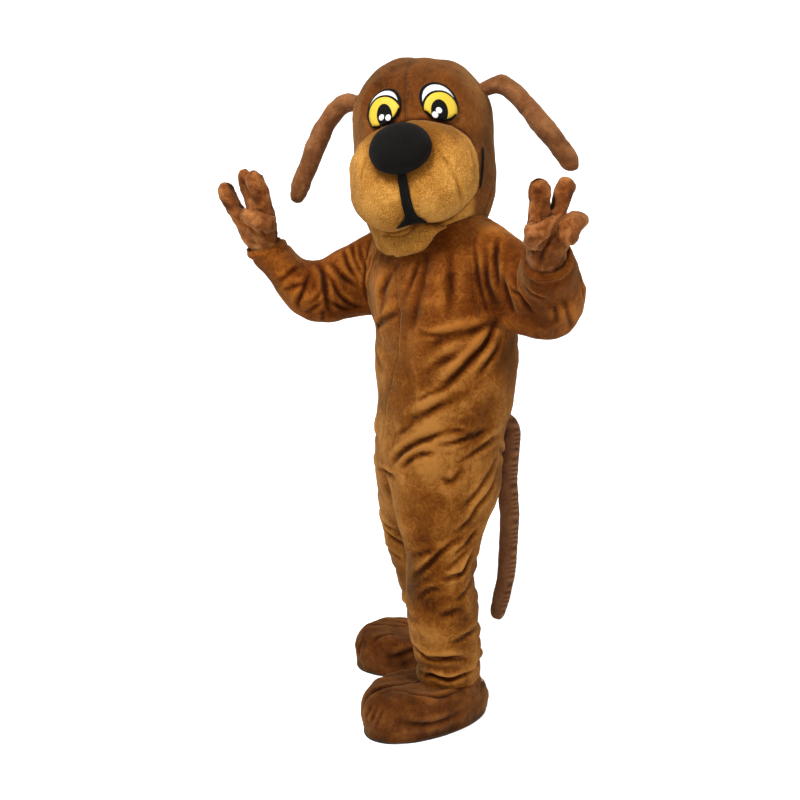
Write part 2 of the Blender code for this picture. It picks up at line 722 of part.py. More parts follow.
SKULL = table(
    "height forward half_width half_depth",
    (-0.010, 0.006, 0.158, 0.162),
    (0.100, 0.005, 0.190, 0.190),
    (0.142, 0.002, 0.194, 0.194),
    (0.190, 0.000, 0.195, 0.195),
    (0.250, 0.000, 0.195, 0.195),
    (0.310, 0.000, 0.192, 0.191),
    (0.360, 0.000, 0.178, 0.177),
    (0.402, 0.000, 0.154, 0.154),
    (0.436, 0.000, 0.124, 0.124),
    (0.460, 0.000, 0.086, 0.086),
    (0.475, 0.000, 0.044, 0.044),
)
SKULL_TOP = 0.480
RIM_LOWEST = 1.338  # the rim hangs this low where no shoulder is under it

head = Cloth()
head_around = np.linspace(0, 2 * np.pi, HEAD_COLUMNS, endpoint=False)
skull_rings = []
for k, height in enumerate(SKULL["height"]):
    centre = on_head(0, SKULL["forward"][k], height)
    sizes = (SKULL["half_depth"][k], SKULL["half_width"][k])
    skull_rings.append(Frame(centre, (HEAD_FRONT, HEAD_LEFT), sizes).points(head_around))
for j, point in enumerate(skull_rings[0]):
    inwards = unit(on_head(0, 0, 0) - point)
    probe = Vector(point + inwards * PLUSH + (0, 0, 0.15))
    found = suit_surface.ray_cast(probe, Vector((0, 0, -1)), 0.3)
    rest = found[0].z + 0.006 if found[0] is not None else 0.0
    point[2] = max(rest, RIM_LOWEST)
rim = np.array([point[2] for point in skull_rings[0]])
for _ in range(7):  # the rim slopes gently up to where it rests
    rim = np.maximum(rim, (np.roll(rim, 1) + np.roll(rim, -1)) / 2)
for point, height in zip(skull_rings[0], rim):
    point[2] = height
rings = [head.ring(points) for points in skull_rings]
half_head = HEAD_COLUMNS // 2
skull_panels = ["head_left"] * half_head + ["head_right"] * half_head
for lower, upper in zip(rings, rings[1:]):
    head.band(lower, upper, skull_panels)
head.cap(rings[-1], on_head(0, 0, SKULL_TOP), skull_panels)
head.finish(on_head(0, 0, 0.2))
skull = [piece(name, head.wall(name), "brown_plush") for name in ("head_left", "head_right")]
HEAD_BASE[2] -= lowered(skull, suit_surface, FIT_GAP)
skull_surface = surface_of(*skull)

EAR_LEFT = table(
    "x y z facing half_across half_through",
    (0.130, 0.075, 1.792, 60, 0.020, 0.022),
    (0.154, 0.070, 1.800, 60, 0.022, 0.024),
    (0.180, 0.074, 1.800, 60, 0.026, 0.027),
    (0.218, 0.089, 1.772, 60, 0.028, 0.029),
    (0.254, 0.103, 1.728, 60, 0.029, 0.030),
    (0.291, 0.118, 1.685, 60, 0.030, 0.031),
    (0.326, 0.133, 1.634, 60, 0.030, 0.031),
    (0.351, 0.145, 1.598, 60, 0.027, 0.028),
    (0.362, 0.150, 1.582, 60, 0.018, 0.019),
    (0.366, 0.152, 1.575, 60, 0.009, 0.010),
)

EAR_RIGHT = table(
    "x y z facing half_across half_through",
    (-0.170, -0.104, 1.764, 20, 0.021, 0.023),
    (-0.196, -0.116, 1.768, 20, 0.024, 0.026),
    (-0.222, -0.128, 1.760, 20, 0.027, 0.028),
    (-0.250, -0.142, 1.726, 20, 0.029, 0.030),
    (-0.274, -0.156, 1.680, 20, 0.030, 0.031),
    (-0.294, -0.170, 1.626, 20, 0.030, 0.031),
    (-0.313, -0.184, 1.571, 20, 0.030, 0.031),
    (-0.327, -0.195, 1.524, 20, 0.027, 0.028),
    (-0.334, -0.200, 1.504, 20, 0.018, 0.019),
    (-0.337, -0.203, 1.496, 20, 0.009, 0.010),
)
for side, sections, sign in (("left", EAR_LEFT, 1), ("right", EAR_RIGHT, -1)):
    root = np.array([sections[axis][0] for axis in "xyz"])
    into_head = on_head(0, 0, 0.34) - root
    ear = stuffed_tube(sections, sign, 8, 16, skull_surface, into_head)
    piece(f"ear_{side}", ear, "brown_plush")

# The face is laid on the skull along rays from a point behind the head's middle.
MUZZLE_MIDDLE = 0.165  # above the base of the head
face = Face(on_head(0, -0.15, MUZZLE_MIDDLE), head_axes(FACE_TILT), 0.345)

MUZZLE_WIDTH = 0.215  # half widths and heights of the muzzle's outline, in the face's own measure
MUZZLE_ABOVE = 0.130
MUZZLE_BELOW = 0.146
MUZZLE_HEIGHT = 0.082
MUZZLE_SQUARENESS = 2.5
NOTCH_DEPTH, NOTCH_WIDTH = 0.026, 0.032  # between the jowls at the bottom


def muzzle_bottom(across):
    """How far the muzzle reaches down, which is less at the notch and on the wearer's left."""
    return MUZZLE_BELOW - 0.045 * across - NOTCH_DEPTH * np.exp(-((across / NOTCH_WIDTH) ** 2))


def muzzle_height(across, up):
    """How high the jowls stand: rounded towards the rim, with a soft groove below the nose."""
    reach = MUZZLE_ABOVE if up > 0 else muzzle_bottom(across)
    near = abs(across / MUZZLE_WIDTH) ** MUZZLE_SQUARENESS + abs(up / reach) ** MUZZLE_SQUARENESS
    rounded = (1 - min(near, 1.0)) ** 0.5
    fuller_below = 1.0 + 0.12 * np.tanh(-up / 0.06)
    groove = 0.16 * np.exp(-((across / 0.022) ** 2)) * np.clip(-up / 0.08, 0, 1)
    return MUZZLE_HEIGHT * rounded * (fuller_below - groove)


def jowl_outline(sign):
    """Half of the muzzle's outline: down the middle seam, then round the jowl and back up."""
    middle = [(SEAM_GAP / 2, up) for up in np.linspace(MUZZLE_ABOVE, -muzzle_bottom(0.0), 8)]
    edge = [middle[-1]]
    for turn in np.radians(np.linspace(-90, 90, 73)[1:-1]):
        across = MUZZLE_WIDTH * np.cos(turn) ** (2 / MUZZLE_SQUARENESS)
        reach = MUZZLE_ABOVE if turn > 0 else muzzle_bottom(sign * across)
        edge.append((across, reach * np.sign(turn) * abs(np.sin(turn)) ** (2 / MUZZLE_SQUARENESS)))
    outline = np.vstack([middle, evenly(edge + middle[:1], 20)[1:-1]])
    return outline * (sign, 1)


jowls = [
    piece(
        f"muzzle_{side}",
        face.pad(skull_surface, jowl_outline(sign), (sign * 0.10, -0.01), muzzle_height, 0.004, 0.001),
        "tan_plush",
    )
    for side, sign in (("left", 1), ("right", -1))
]
muzzle_surface = surface_of(*skull, *jowls)

NOSE = {"across": 0.0, "up": 0.050, "half_width": 0.062, "half_height": 0.052, "height": 0.046}


def ellipse(across, up, half_width, half_height, count):
    turns = np.linspace(0, 2 * np.pi, count, endpoint=False)
    return np.stack([across + half_width * np.cos(turns), up + half_height * np.sin(turns)], axis=1)


def nose_height(across, up):
    """An egg that bulges a little more above its middle."""
    side = (across - NOSE["across"]) / NOSE["half_width"]
    rise = (up - NOSE["up"]) / NOSE["half_height"]
    return NOSE["height"] * max(0.0, 1 - side**2 - rise**2) ** 0.55 * (1 + 0.10 * rise)


nose_outline = ellipse(*(NOSE[name] for name in ("across", "up", "half_width", "half_height")), 18)
nose = face.pad(
    muzzle_surface, nose_outline, (NOSE["across"], NOSE["up"]), nose_height, 0.010, FIT_GAP, (1, 0.9, 0.7, 0.38)
)
piece("nose", nose, "black_cloth")

STRIPE = table(  # from under the nose to the mouth, where it widens into a small triangle
    "across up half_width",
    (0.0, -0.010, 0.0100),
    (0.0, -0.040, 0.0100),
    (0.0, -0.070, 0.0110),
    (0.0, -0.088, 0.0120),
    (0.0, -0.098, 0.0180),
    (0.0, -0.107, 0.0300),
    (0.0, -0.112, 0.0340),
)


def felt(across, up):
    return FELT


piece("mouth_stripe", face.strip(muzzle_surface, along(STRIPE, 9), 4, felt), "black_cloth")

EYES = {  # in the face's measure
    "left": {"across": 0.104, "up": 0.190, "half_width": 0.057, "half_height": 0.066},
    "right": {"across": -0.056, "up": 0.190, "half_width": 0.050, "half_height": 0.064},
}
for side, eye in EYES.items():
    outline = ellipse(*(eye[name] for name in ("across", "up", "half_width", "half_height")), 16)
    for spot in outline:  # the muzzle's edge covers the eye's lowest part
        turn = min(abs(spot[0]) / MUZZLE_WIDTH, 1)
        edge = MUZZLE_ABOVE * (1 - turn**MUZZLE_SQUARENESS) ** (1 / MUZZLE_SQUARENESS)
        spot[1] = max(spot[1], edge + 0.006)

    def eye_height(across, up, eye=eye):
        side = (across - eye["across"]) / eye["half_width"]
        rise = (up - eye["up"]) / eye["half_height"]
        return 0.003 * max(0.0, 1 - side**2 - rise**2)

    plate = face.pad(
        skull_surface, outline, (eye["across"], eye["up"]), eye_height, FELT, FIT_GAP, (1, 0.6)
    )
    piece(f"eye_{side}", plate, "eye_cloth")

CORNER = table(  # a curved line beside the muzzle, thick at its top
    "across up half_width",
    (0.262, 0.072, 0.0050),
    (0.258, 0.050, 0.0100),
    (0.252, 0.020, 0.0085),
    (0.244, -0.015, 0.0065),
    (0.232, -0.050, 0.0050),
    (0.214, -0.080, 0.0035),
)
for side, sign in (("left", 1), ("right", -1)):
    line = {**CORNER, "across": CORNER["across"] * sign}
    corner = face.strip(skull_surface, along(line, 9), 3, felt)
    piece(f"mouth_corner_{side}", corner, "black_cloth")


def rim_reach(across):
    """How far down the face the skull's outer side reaches at this place."""
    for up in np.arange(-0.26, -0.1, 0.002):
        way = Vector(face.way(across, up))
        found = skull_surface.ray_cast(Vector(face.source) + way * 0.9, -way, 0.6)
        if found[3] is not None and found[1].dot(way) > 0.5:
            break
    return up


CHIN_ENDS = (-0.125, 0.050)
CHIN_HEIGHT = 0.020
chin_spots = np.linspace(*CHIN_ENDS, 11)
chin_top = np.array([-muzzle_bottom(across) - 0.009 for across in chin_spots])
chin_foot = np.array([rim_reach(across) + 0.012 for across in chin_spots])
chin_foot = np.minimum(chin_foot, chin_top - 0.010)
chin_line = {"across": chin_spots, "up": (chin_top + chin_foot) / 2, "half_width": (chin_top - chin_foot) / 2}


def chin_height(across, up):
    """Fullest in its middle, thin along its edges."""
    side = (across - np.mean(CHIN_ENDS)) / (0.52 * (CHIN_ENDS[1] - CHIN_ENDS[0]))
    half = np.interp(across, chin_spots, chin_line["half_width"])
    rise = (up - np.interp(across, chin_spots, chin_line["up"])) / half
    return 0.004 + CHIN_HEIGHT * (max(0.0, 1 - side**2) * max(0.0, 1 - rise**2)) ** 0.5


piece("chin", face.strip(skull_surface, chin_line, 5, chin_height, upright=True), "tan_plush")

# ---------------------------------------------------------------- the gloves

HANDS = {  # where the palm's middle stands and which way the palm looks
    "left": {"x": 0.470, "y": -0.128, "facing": 54, "side": 1},
    "right": {"x": -0.394, "y": -0.292, "facing": 24, "side": -1},
}


def hand_axes(hand):
    """The level directions towards the thumb's side and out of the palm."""
    out = heading(hand["facing"])
    return hand["side"] * np.array([out[1], -out[0], 0.0]), out


def on_hand(hand, sections):
    """The table's across, out and height as places in the room."""
    thumbwards, out = hand_axes(hand)
    middle = np.array([hand["x"], hand["y"], 0.0])
    return (
        middle
        + np.outer(sections["across"], thumbwards)
        + np.outer(sections["out"], out)
        + np.outer(sections["height"], (0, 0, 1))
    )


def palm_frames(hand, sections):
    """Rings of the palm. Angle 0 is the thumb's side and a quarter turn is out of the palm."""
    thumbwards, out = hand_axes(hand)
    frames = []
    for k, centre in enumerate(on_hand(hand, sections)):
        axes = (thumbwards + (0, 0, sections["lean"][k]), out + (0, 0, sections["nod"][k]))
        frames.append(Frame(centre, axes, (sections["half_across"][k], sections["half_through"][k])))
    return frames


# across: towards the thumb, out: from the palm, lean: rise towards the thumb, nod: rise towards the palm
PALM_LEFT = table(
    "across out height half_across half_through lean nod",
    (-0.004, -0.014, 1.392, 0.053, 0.042, 0.04, -0.50),
    (-0.002, -0.004, 1.407, 0.057, 0.039, 0.12, -0.25),
    (-0.006, 0.000, 1.426, 0.061, 0.037, 0.22, -0.08),
    (-0.016, 0.000, 1.446, 0.063, 0.034, 0.34, 0.00),
)
PALM_RIGHT = table(
    "across out height half_across half_through lean nod",
    (0.005, -0.006, 1.401, 0.050, 0.042, 0.32, -0.12),
    (0.000, 0.000, 1.418, 0.056, 0.039, 0.32, -0.05),
    (-0.002, 0.002, 1.434, 0.060, 0.037, 0.32, 0.00),
    (-0.006, 0.004, 1.457, 0.061, 0.034, 0.34, 0.00),
)

# The digits: turn is the way the rings face, counted from the palm's own.
DIGITS = {
    "left": {
        "fore": table(
            "across out height turn half_across half_through",
            (0.027, 0.002, 1.484, 0, 0.028, 0.027),
            (0.026, 0.004, 1.506, 0, 0.028, 0.027),
            (0.024, 0.004, 1.526, 0, 0.025, 0.025),
            (0.023, 0.004, 1.537, 0, 0.015, 0.015),
        ),
        "middle": table(
            "across out height turn half_across half_through",
            (-0.028, -0.002, 1.478, 0, 0.021, 0.026),
            (-0.034, -0.002, 1.502, 0, 0.025, 0.026),
            (-0.043, -0.001, 1.528, 0, 0.025, 0.024),
            (-0.047, 0.000, 1.541, 0, 0.015, 0.015),
        ),
        "last": table(
            "across out height turn half_across half_through",
            (-0.070, 0.012, 1.450, -90, 0.020, 0.021),
            (-0.066, 0.033, 1.456, -90, 0.020, 0.025),
            (-0.049, 0.054, 1.444, -90, 0.020, 0.027),
            (-0.037, 0.068, 1.425, -90, 0.020, 0.027),
            (-0.031, 0.074, 1.405, -90, 0.018, 0.024),
            (-0.029, 0.075, 1.393, -90, 0.011, 0.014),
        ),
        "thumb": table(
            "across out height turn half_across half_through",
            (0.061, 0.038, 1.406, 0, 0.021, 0.022),
            (0.062, 0.056, 1.409, 0, 0.020, 0.022),
            (0.050, 0.070, 1.418, 0, 0.019, 0.022),
            (0.031, 0.074, 1.431, 0, 0.019, 0.021),
            (0.015, 0.072, 1.444, 0, 0.017, 0.018),
            (0.008, 0.070, 1.450, 0, 0.010, 0.011),
        ),
    },
    "right": {
        "fore": table(
            "across out height turn half_across half_through",
            (0.029, 0.018, 1.500, 0, 0.028, 0.029),
            (0.021, 0.027, 1.527, 0, 0.029, 0.028),
            (0.009, 0.035, 1.558, 0, 0.026, 0.025),
            (0.003, 0.039, 1.574, 0, 0.016, 0.016),
        ),
        "middle": table(
            "across out height turn half_across half_through",
            (-0.024, -0.014, 1.494, 0, 0.019, 0.024),
            (-0.034, -0.020, 1.524, 0, 0.025, 0.025),
            (-0.045, -0.020, 1.562, 0, 0.025, 0.024),
            (-0.050, -0.018, 1.582, 0, 0.015, 0.015),
        ),
        "last": table(
            "across out height turn half_across half_through",
            (-0.069, 0.018, 1.469, 0, 0.021, 0.025),
            (-0.076, 0.019, 1.499, 0, 0.026, 0.027),
            (-0.087, 0.023, 1.531, 0, 0.024, 0.024),
            (-0.093, 0.026, 1.545, 0, 0.014, 0.014),
        ),
        "thumb": table(
            "across out height turn half_across half_through",
            (0.060, 0.038, 1.434, 0, 0.021, 0.024),
            (0.058, 0.057, 1.437, 0, 0.021, 0.025),
            (0.041, 0.072, 1.443, 0, 0.020, 0.025),
            (0.018, 0.077, 1.452, 0, 0.020, 0.023),
            (-0.003, 0.076, 1.463, 0, 0.018, 0.020),
            (-0.012, 0.074, 1.468, 0, 0.011, 0.012),
        ),
    },
}
THUMB_ROWS, THUMB_COLUMNS = (3, 5), (1, 4)  # the faces of the palm from which the thumb grows
FINGER_ENDS = (5, 7)  # the knuckles' columns between the fingers


def digit(glove, hand, loop, sections, panels, upright=False):
    """Carries a loop of the glove on into a digit with a rounded tip."""
    path = np.vstack([np.mean([v.co for v in loop], axis=0), on_hand(hand, sections)])
    rows = {"x": path[:, 0], "y": path[:, 1], "z": path[:, 2]}
    rows["facing"] = hand["facing"] + np.concatenate([sections["turn"][:1], sections["turn"]])
    for name in ("half_across", "half_through"):
        rows[name] = np.concatenate([sections[name][:1], sections[name]])
    frames = path_frames(rows, hand["side"], upright)
    rings = glove.loft(loop, frames, panels, settle=3)
    glove.cap(rings[-1], path[-1] + (path[-1] - path[-2]) * 0.35, panels)


for side, palm in (("left", PALM_LEFT), ("right", PALM_RIGHT)):
    hand = HANDS[side]
    glove = Cloth()
    rings = []
    for k, share in ((-3, 1.0), (-2, 0.88), (-1, 0.78)):  # it narrows towards the cuff
        worn = np.array(suit.inner(sleeve_rings[side][k], 0.0009))
        rings.append(glove.ring(worn.mean(axis=0) + (worn - worn.mean(axis=0)) * share))
    rings += [glove.ring(frame.points(np.arange(24) * np.pi / 12)) for frame in palm_frames(hand, palm)]
    palm_side, back_side, thumb_side = (f"glove_{name}_{side}" for name in ("palm", "back", "thumb"))
    for k, (first, second) in enumerate(zip(rings, rings[1:])):
        row_panels = [palm_side] * 12 + [back_side] * 12
        if THUMB_ROWS[0] <= k < THUMB_ROWS[1]:
            row_panels[slice(*THUMB_COLUMNS)] = [None] * (THUMB_COLUMNS[1] - THUMB_COLUMNS[0])
        glove.band(first, second, row_panels)
    knuckles = rings[-1]
    webs = {
        end: glove.ring([knuckles[end].co.lerp(knuckles[24 - end].co, 0.5)]) for end in FINGER_ENDS
    }
    near, far = FINGER_ENDS
    fore = knuckles[: near + 1] + webs[near] + knuckles[24 - near :]
    middle = knuckles[near : far + 1] + webs[far] + knuckles[24 - far : 25 - near] + webs[near]
    last = knuckles[far : 25 - far] + webs[far]
    digits = DIGITS[side]
    digit(glove, hand, fore, digits["fore"], [palm_side] * 6 + [back_side] * 6)
    digit(glove, hand, middle, digits["middle"], [palm_side] * 3 + [back_side] * 4 + [palm_side])
    digit(glove, hand, last, digits["last"], [palm_side] * 5 + [back_side] * 6 + [palm_side])
    hole = outline_loop(rings, *THUMB_ROWS, *THUMB_COLUMNS)
    digit(glove, hand, hole, digits["thumb"], [thumb_side] * len(hole), upright=True)
    glove.relax(knuckles + webs[near] + webs[far], 1, 5)
    glove.finish(np.mean([v.co for v in rings[4]], axis=0))
    for name in (palm_side, back_side, thumb_side):
        piece(name, glove.wall(name, THIN_PLUSH), "brown_plush")

# ---------------------------------------------------------------- the shoes

FEET = {  # where the ankle stands, which way the toes point and where the seams lie
    "left": {"x": 0.100, "y": -0.023, "heading": -18, "toe": 3, "heel": 16},
    "right": {"x": -0.128, "y": 0.216, "heading": -41, "toe": 16, "heel": 3},
}
SHOE = table(  # forward: from the ankle, nod: rise of the ring towards the toes
    "height forward half_width half_depth squareness nod",
    (0.172, 0.000, 0.071, 0.075, 0.0, 0.0),
    (0.121, 0.000, 0.075, 0.079, 0.0, 0.0),
    (0.1155, 0.007, 0.088, 0.099, 0.0, 0.02),
    (0.1160, 0.041, 0.095, 0.137, 0.05, 0.10),
    (0.1140, 0.066, 0.103, 0.168, 0.10, 0.13),
    (0.1000, 0.075, 0.109, 0.193, 0.10, 0.12),
    (0.0680, 0.078, 0.113, 0.208, 0.10, 0.07),
    (0.0360, 0.078, 0.112, 0.207, 0.08, 0.02),
    (SOLE + SEAM_GAP, 0.077, 0.106, 0.200, 0.05, 0.0),
)

for side, foot in FEET.items():
    forward = heading(foot["heading"])
    sections = dict(SHOE)
    sections["x"] = foot["x"] + forward[0] * SHOE["forward"]
    sections["y"] = foot["y"] + forward[1] * SHOE["forward"]
    sections["turn"] = np.full(len(SHOE["height"]), float(foot["heading"]))
    shoe = Cloth()
    leg = leg_rings[side]
    rings = [shoe.ring(suit.inner(leg[k], 0.0009)) for k in (-5, -4)]
    start, stop = sorted((foot["toe"], foot["heel"]))
    outer_half = [f"shoe_outer_{side}" if start <= j < stop else f"shoe_inner_{side}" for j in range(26)]
    shoe.band(*rings, outer_half)
    frames = level_frames(sections)
    rings += shoe.loft(rings[-1], [frames[0], *frames], outer_half, settle=1)[1:]
    shoe.finish(frames[5].centre)
    for name in sorted(set(outer_half)):
        piece(name, shoe.wall(name), "brown_plush")
    bm = bmesh.new()
    edge = np.array([v.co for v in rings[-1]])
    middle = edge.mean(axis=0)
    layers = []
    for height, share in ((SOLE, 1.0), (SOLE * 0.75, 1.012), (SOLE * 0.2, 1.012), (0.0, 1.0)):
        layer = middle + (edge - middle) * share
        layer[:, 2] = height
        layers.append([bm.verts.new(p) for p in layer])
    for first, second in zip(layers, layers[1:]):
        for j in range(26):
            k = (j + 1) % 26
            bm.faces.new([first[j], first[k], second[k], second[j]])
    bm.faces.new(layers[0])
    bm.faces.new(layers[-1])
    piece(f"sole_{side}", bm, "sole_rubber")

# A small tab is sewn on the left shoe's heel, under the trouser's hem.
foot = FEET["left"]
forward = heading(foot["heading"])
heel_axes = (np.array([-forward[1], forward[0], 0.0]), -forward, np.array([0, 0, 1.0]))
heel = Face((foot["x"], foot["y"], 0.060), heel_axes, 0.125)
shoe_surface = surface_of(*(bpy.data.objects[f"shoe_{name}_left"] for name in ("inner", "outer")))
TAB = table("across up half_width", (0.004, 0.038, 0.014), (0.004, 0.027, 0.014), (0.004, 0.014, 0.014))
piece("heel_tab", heel.strip(shoe_surface, along(TAB, 4), 4, felt), "red_tab")
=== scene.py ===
# %% [markdown]
# # A dog mascot costume in Blender
# The imported model already has every sewn piece at its true size: a suit of four long panels with
# two sleeves, a padded head with a stuffed face, two gloves, two shoes and a tail. Those solids are
# plain. Here each one is cut out again as cloth, sewn to its neighbours, creased and given
# a plush pile. Nothing is moved: every piece stays on the solid that it stands for.

# %% Start from the imported model
import json
import math

import bmesh
import bpy
import numpy as np
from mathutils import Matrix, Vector, noise
from mathutils.bvhtree import BVHTree
from mathutils.kdtree import KDTree

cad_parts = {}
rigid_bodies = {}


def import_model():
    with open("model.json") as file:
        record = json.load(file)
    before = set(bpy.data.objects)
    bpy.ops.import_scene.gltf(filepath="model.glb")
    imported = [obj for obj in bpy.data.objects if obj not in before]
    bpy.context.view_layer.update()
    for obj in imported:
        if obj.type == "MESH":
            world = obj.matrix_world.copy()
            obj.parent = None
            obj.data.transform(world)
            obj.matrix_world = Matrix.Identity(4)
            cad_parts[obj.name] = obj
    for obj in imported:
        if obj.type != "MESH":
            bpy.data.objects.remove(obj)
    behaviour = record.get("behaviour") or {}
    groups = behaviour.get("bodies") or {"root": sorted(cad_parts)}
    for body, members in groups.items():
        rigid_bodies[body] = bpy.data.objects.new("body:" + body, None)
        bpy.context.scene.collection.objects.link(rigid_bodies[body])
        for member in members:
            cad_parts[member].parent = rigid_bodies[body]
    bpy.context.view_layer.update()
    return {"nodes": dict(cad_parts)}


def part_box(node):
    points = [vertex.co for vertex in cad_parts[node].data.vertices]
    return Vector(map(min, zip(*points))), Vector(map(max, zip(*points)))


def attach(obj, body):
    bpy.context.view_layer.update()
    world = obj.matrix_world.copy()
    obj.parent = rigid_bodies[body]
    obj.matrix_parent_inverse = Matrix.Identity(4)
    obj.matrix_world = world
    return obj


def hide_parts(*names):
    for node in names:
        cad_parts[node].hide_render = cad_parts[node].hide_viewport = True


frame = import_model()
nodes = frame["nodes"]
MM = 0.001
SIDES = ("left", "right")
print("pieces in the packed model:", len(nodes))

# %% [markdown]
# ## Colours and pile
# Short plush is a knitted backing with a dense pile of fine hairs. Real strands could show the pile, but
# millions of them are slow and don't leave Blender. Seen from a step away plush has no weave anyway: it
# has patches where it was brushed one way or the other, marks a finger wide, a fine grain, and a soft
# sheen where the pile turns away. So its colour is mixed from three sizes of noise, the shader's sheen
# does the rest, and its bump is the brush marks and the grain.

# %% A helper for node trees
def node(tree, kind, inputs=None, **settings):
    """Adds a shader node, sets its settings and either links or fills its inputs."""
    made = tree.nodes.new(kind)
    for name, value in settings.items():
        setattr(made, name, value)
    for name, value in (inputs or {}).items():
        if isinstance(value, bpy.types.NodeSocket):
            tree.links.new(value, made.inputs[name])
        else:
            made.inputs[name].default_value = value
    return made


def ramp(tree, factor, *stops):
    """A colour ramp: each stop is a place from 0 to 1 and a colour."""
    made = node(tree, "ShaderNodeValToRGB", {"Fac": factor})
    elements = made.color_ramp.elements
    while len(elements) < len(stops):
        elements.new(0.5)
    for element, (place, colour) in zip(elements, stops):
        element.position, element.color = place, (*colour, 1.0)
    return made.outputs["Color"]


def new_finish(name, **sockets):
    """A material with these values in its shader's own sockets, with its tree and the Object coordinates."""
    made = bpy.data.materials.new(name)
    made.use_nodes = True
    shader = made.node_tree.nodes["Principled BSDF"]
    for socket, value in sockets.items():
        shader.inputs[socket.replace("_", " ")].default_value = value
    place = node(made.node_tree, "ShaderNodeTexCoord").outputs["Object"]
    return made, made.node_tree, shader, place


# %% Plush
PATCH_SHARE, MARK_SHARE, PILE_SHARE = 0.40, 0.26, 0.34  # of each size of noise in the colour
SHADING_SHARE = 0.25  # how far a point's painted shade or light moves its colour along the ramp
HALF_RAMP = 0.19  # from the colour in the middle to the one at either end


def plush(name, shadow, middle, light, sheen, sheen_tint, grain=1.0, brushed=1.0, golden=None, curl=560.0):
    """Short pile plush. The three colours run from the pile's roots to its brushed tips.

    A point's shading mark, mostly painted shade and light, darkens it below 0 and lightens it above.
    Its "golden" mixes in a second colour.
    """
    made, tree, shader, place = new_finish(
        name, Roughness=0.92, Specular_IOR_Level=0.06, Sheen_Weight=sheen, Sheen_Roughness=0.40,
        Sheen_Tint=(*sheen_tint, 1.0),
    )

    def cloud(scale, detail, roughness, distortion=0.0):
        looks = {"Scale": scale, "Detail": detail, "Roughness": roughness, "Distortion": distortion}
        return node(tree, "ShaderNodeTexNoise", {"Vector": place, **looks}).outputs["Fac"]

    def attribute(mark):
        return node(tree, "ShaderNodeAttribute", attribute_name=mark).outputs["Fac"]

    patches = cloud(7.5, 2.0, 0.5, 0.4)  # brushed this way or that, a hand wide
    marks = cloud(46.0, 3.0, 0.6, 1.6)  # brush marks, a finger wide
    hairs = cloud(curl, 2.0, 0.6)  # the pile itself
    mixed = 0.0
    for value, share in (
        (patches, PATCH_SHARE * brushed),
        (marks, MARK_SHARE * brushed),
        (hairs, PILE_SHARE * grain),
        (attribute("crease"), SHADING_SHARE),
    ):
        added = node(tree, "ShaderNodeMath", {0: value, 1: share, 2: mixed}, operation="MULTIPLY_ADD")
        mixed = added.outputs[0]
    centre = ((PATCH_SHARE + MARK_SHARE) * brushed + PILE_SHARE * grain) / 2
    stops = centre - HALF_RAMP, centre, min(centre + HALF_RAMP, 1.0)
    colour = ramp(tree, mixed, *zip(stops, (shadow, middle, light)))
    if golden:
        second = ramp(tree, mixed, *zip(stops, golden))
        sockets = {0: attribute("golden"), 6: colour, 7: second}  # the share and the two colours
        colour = node(tree, "ShaderNodeMix", sockets, data_type="RGBA").outputs[2]
    tree.links.new(colour, shader.inputs["Base Color"])
    coarse = node(tree, "ShaderNodeBump", {"Height": marks, "Strength": 0.30, "Distance": 0.006})
    fine = node(
        tree,
        "ShaderNodeBump",
        {"Height": hairs, "Strength": 0.75 * grain, "Distance": 0.0022, "Normal": coarse.outputs["Normal"]},
    )
    tree.links.new(fine.outputs["Normal"], shader.inputs["Normal"])
    return made


def plain(name, colour, roughness, bump, scale=900.0, sheen=0.0, shine=0.5):
    """A close cloth, felt or rubber of nearly one colour, with a fine matte grain."""
    made, tree, shader, place = new_finish(
        name, Roughness=roughness, Sheen_Weight=sheen, Specular_IOR_Level=shine
    )
    grain = node(tree, "ShaderNodeTexNoise", {"Vector": place, "Scale": scale, "Detail": 2.0}).outputs["Fac"]
    dark = tuple(c * 0.72 for c in colour)
    light = tuple(min(c * 1.25 + 0.002, 1.0) for c in colour)
    tree.links.new(ramp(tree, grain, (0.3, dark), (0.7, light)), shader.inputs["Base Color"])
    raised = node(tree, "ShaderNodeBump", {"Height": grain, "Strength": bump, "Distance": 0.001})
    tree.links.new(raised.outputs["Normal"], shader.inputs["Normal"])
    return made


# %% The costume's finishes
GOLD = (0.21, 0.074, 0.008), (0.48, 0.20, 0.030), (0.78, 0.40, 0.090)
# the sleeves' redder plush, also mixed into the chest as painted shadow of the head
REDDER = (0.040, 0.0072, 0.0006), (0.150, 0.0335, 0.0030), (0.37, 0.112, 0.014)
BROWN = plush(
    "brown_plush", (0.040, 0.0085, 0.0006), (0.186, 0.0530, 0.0046), (0.42, 0.172, 0.034),
    0.30, (0.95, 0.60, 0.24), brushed=1.3, golden=REDDER,
)
GLOVE_BROWN = plush(
    "glove_plush", (0.050, 0.0120, 0.0024), (0.215, 0.0605, 0.0125), (0.50, 0.200, 0.062),
    0.34, (0.95, 0.62, 0.32),
)
EAR_BROWN = plush(
    "ear_plush", (0.060, 0.0185, 0.0055), (0.195, 0.0700, 0.0225), (0.37, 0.160, 0.062),
    0.36, (0.92, 0.66, 0.40), brushed=1.1,
)
TAIL_BROWN = plush(
    "tail_plush", (0.040, 0.0140, 0.0050), (0.185, 0.0740, 0.0300), (0.35, 0.160, 0.070),
    0.30, (0.90, 0.60, 0.36), brushed=0.6,
)
HEAD_BROWN = plush(
    "head_plush", (0.062, 0.016, 0.0028), (0.178, 0.0515, 0.0085), (0.34, 0.130, 0.032),
    0.34, (0.92, 0.62, 0.26), brushed=1.25, golden=GOLD,
)
SHOE_BROWN = plush(
    "shoe_plush", (0.030, 0.0072, 0.0012), (0.106, 0.0290, 0.0048), (0.25, 0.082, 0.017),
    0.30, (0.9, 0.58, 0.26),
)
TAN = plush("tan_plush", *GOLD, 0.30, (1.0, 0.75, 0.36), grain=2.0, curl=330.0)
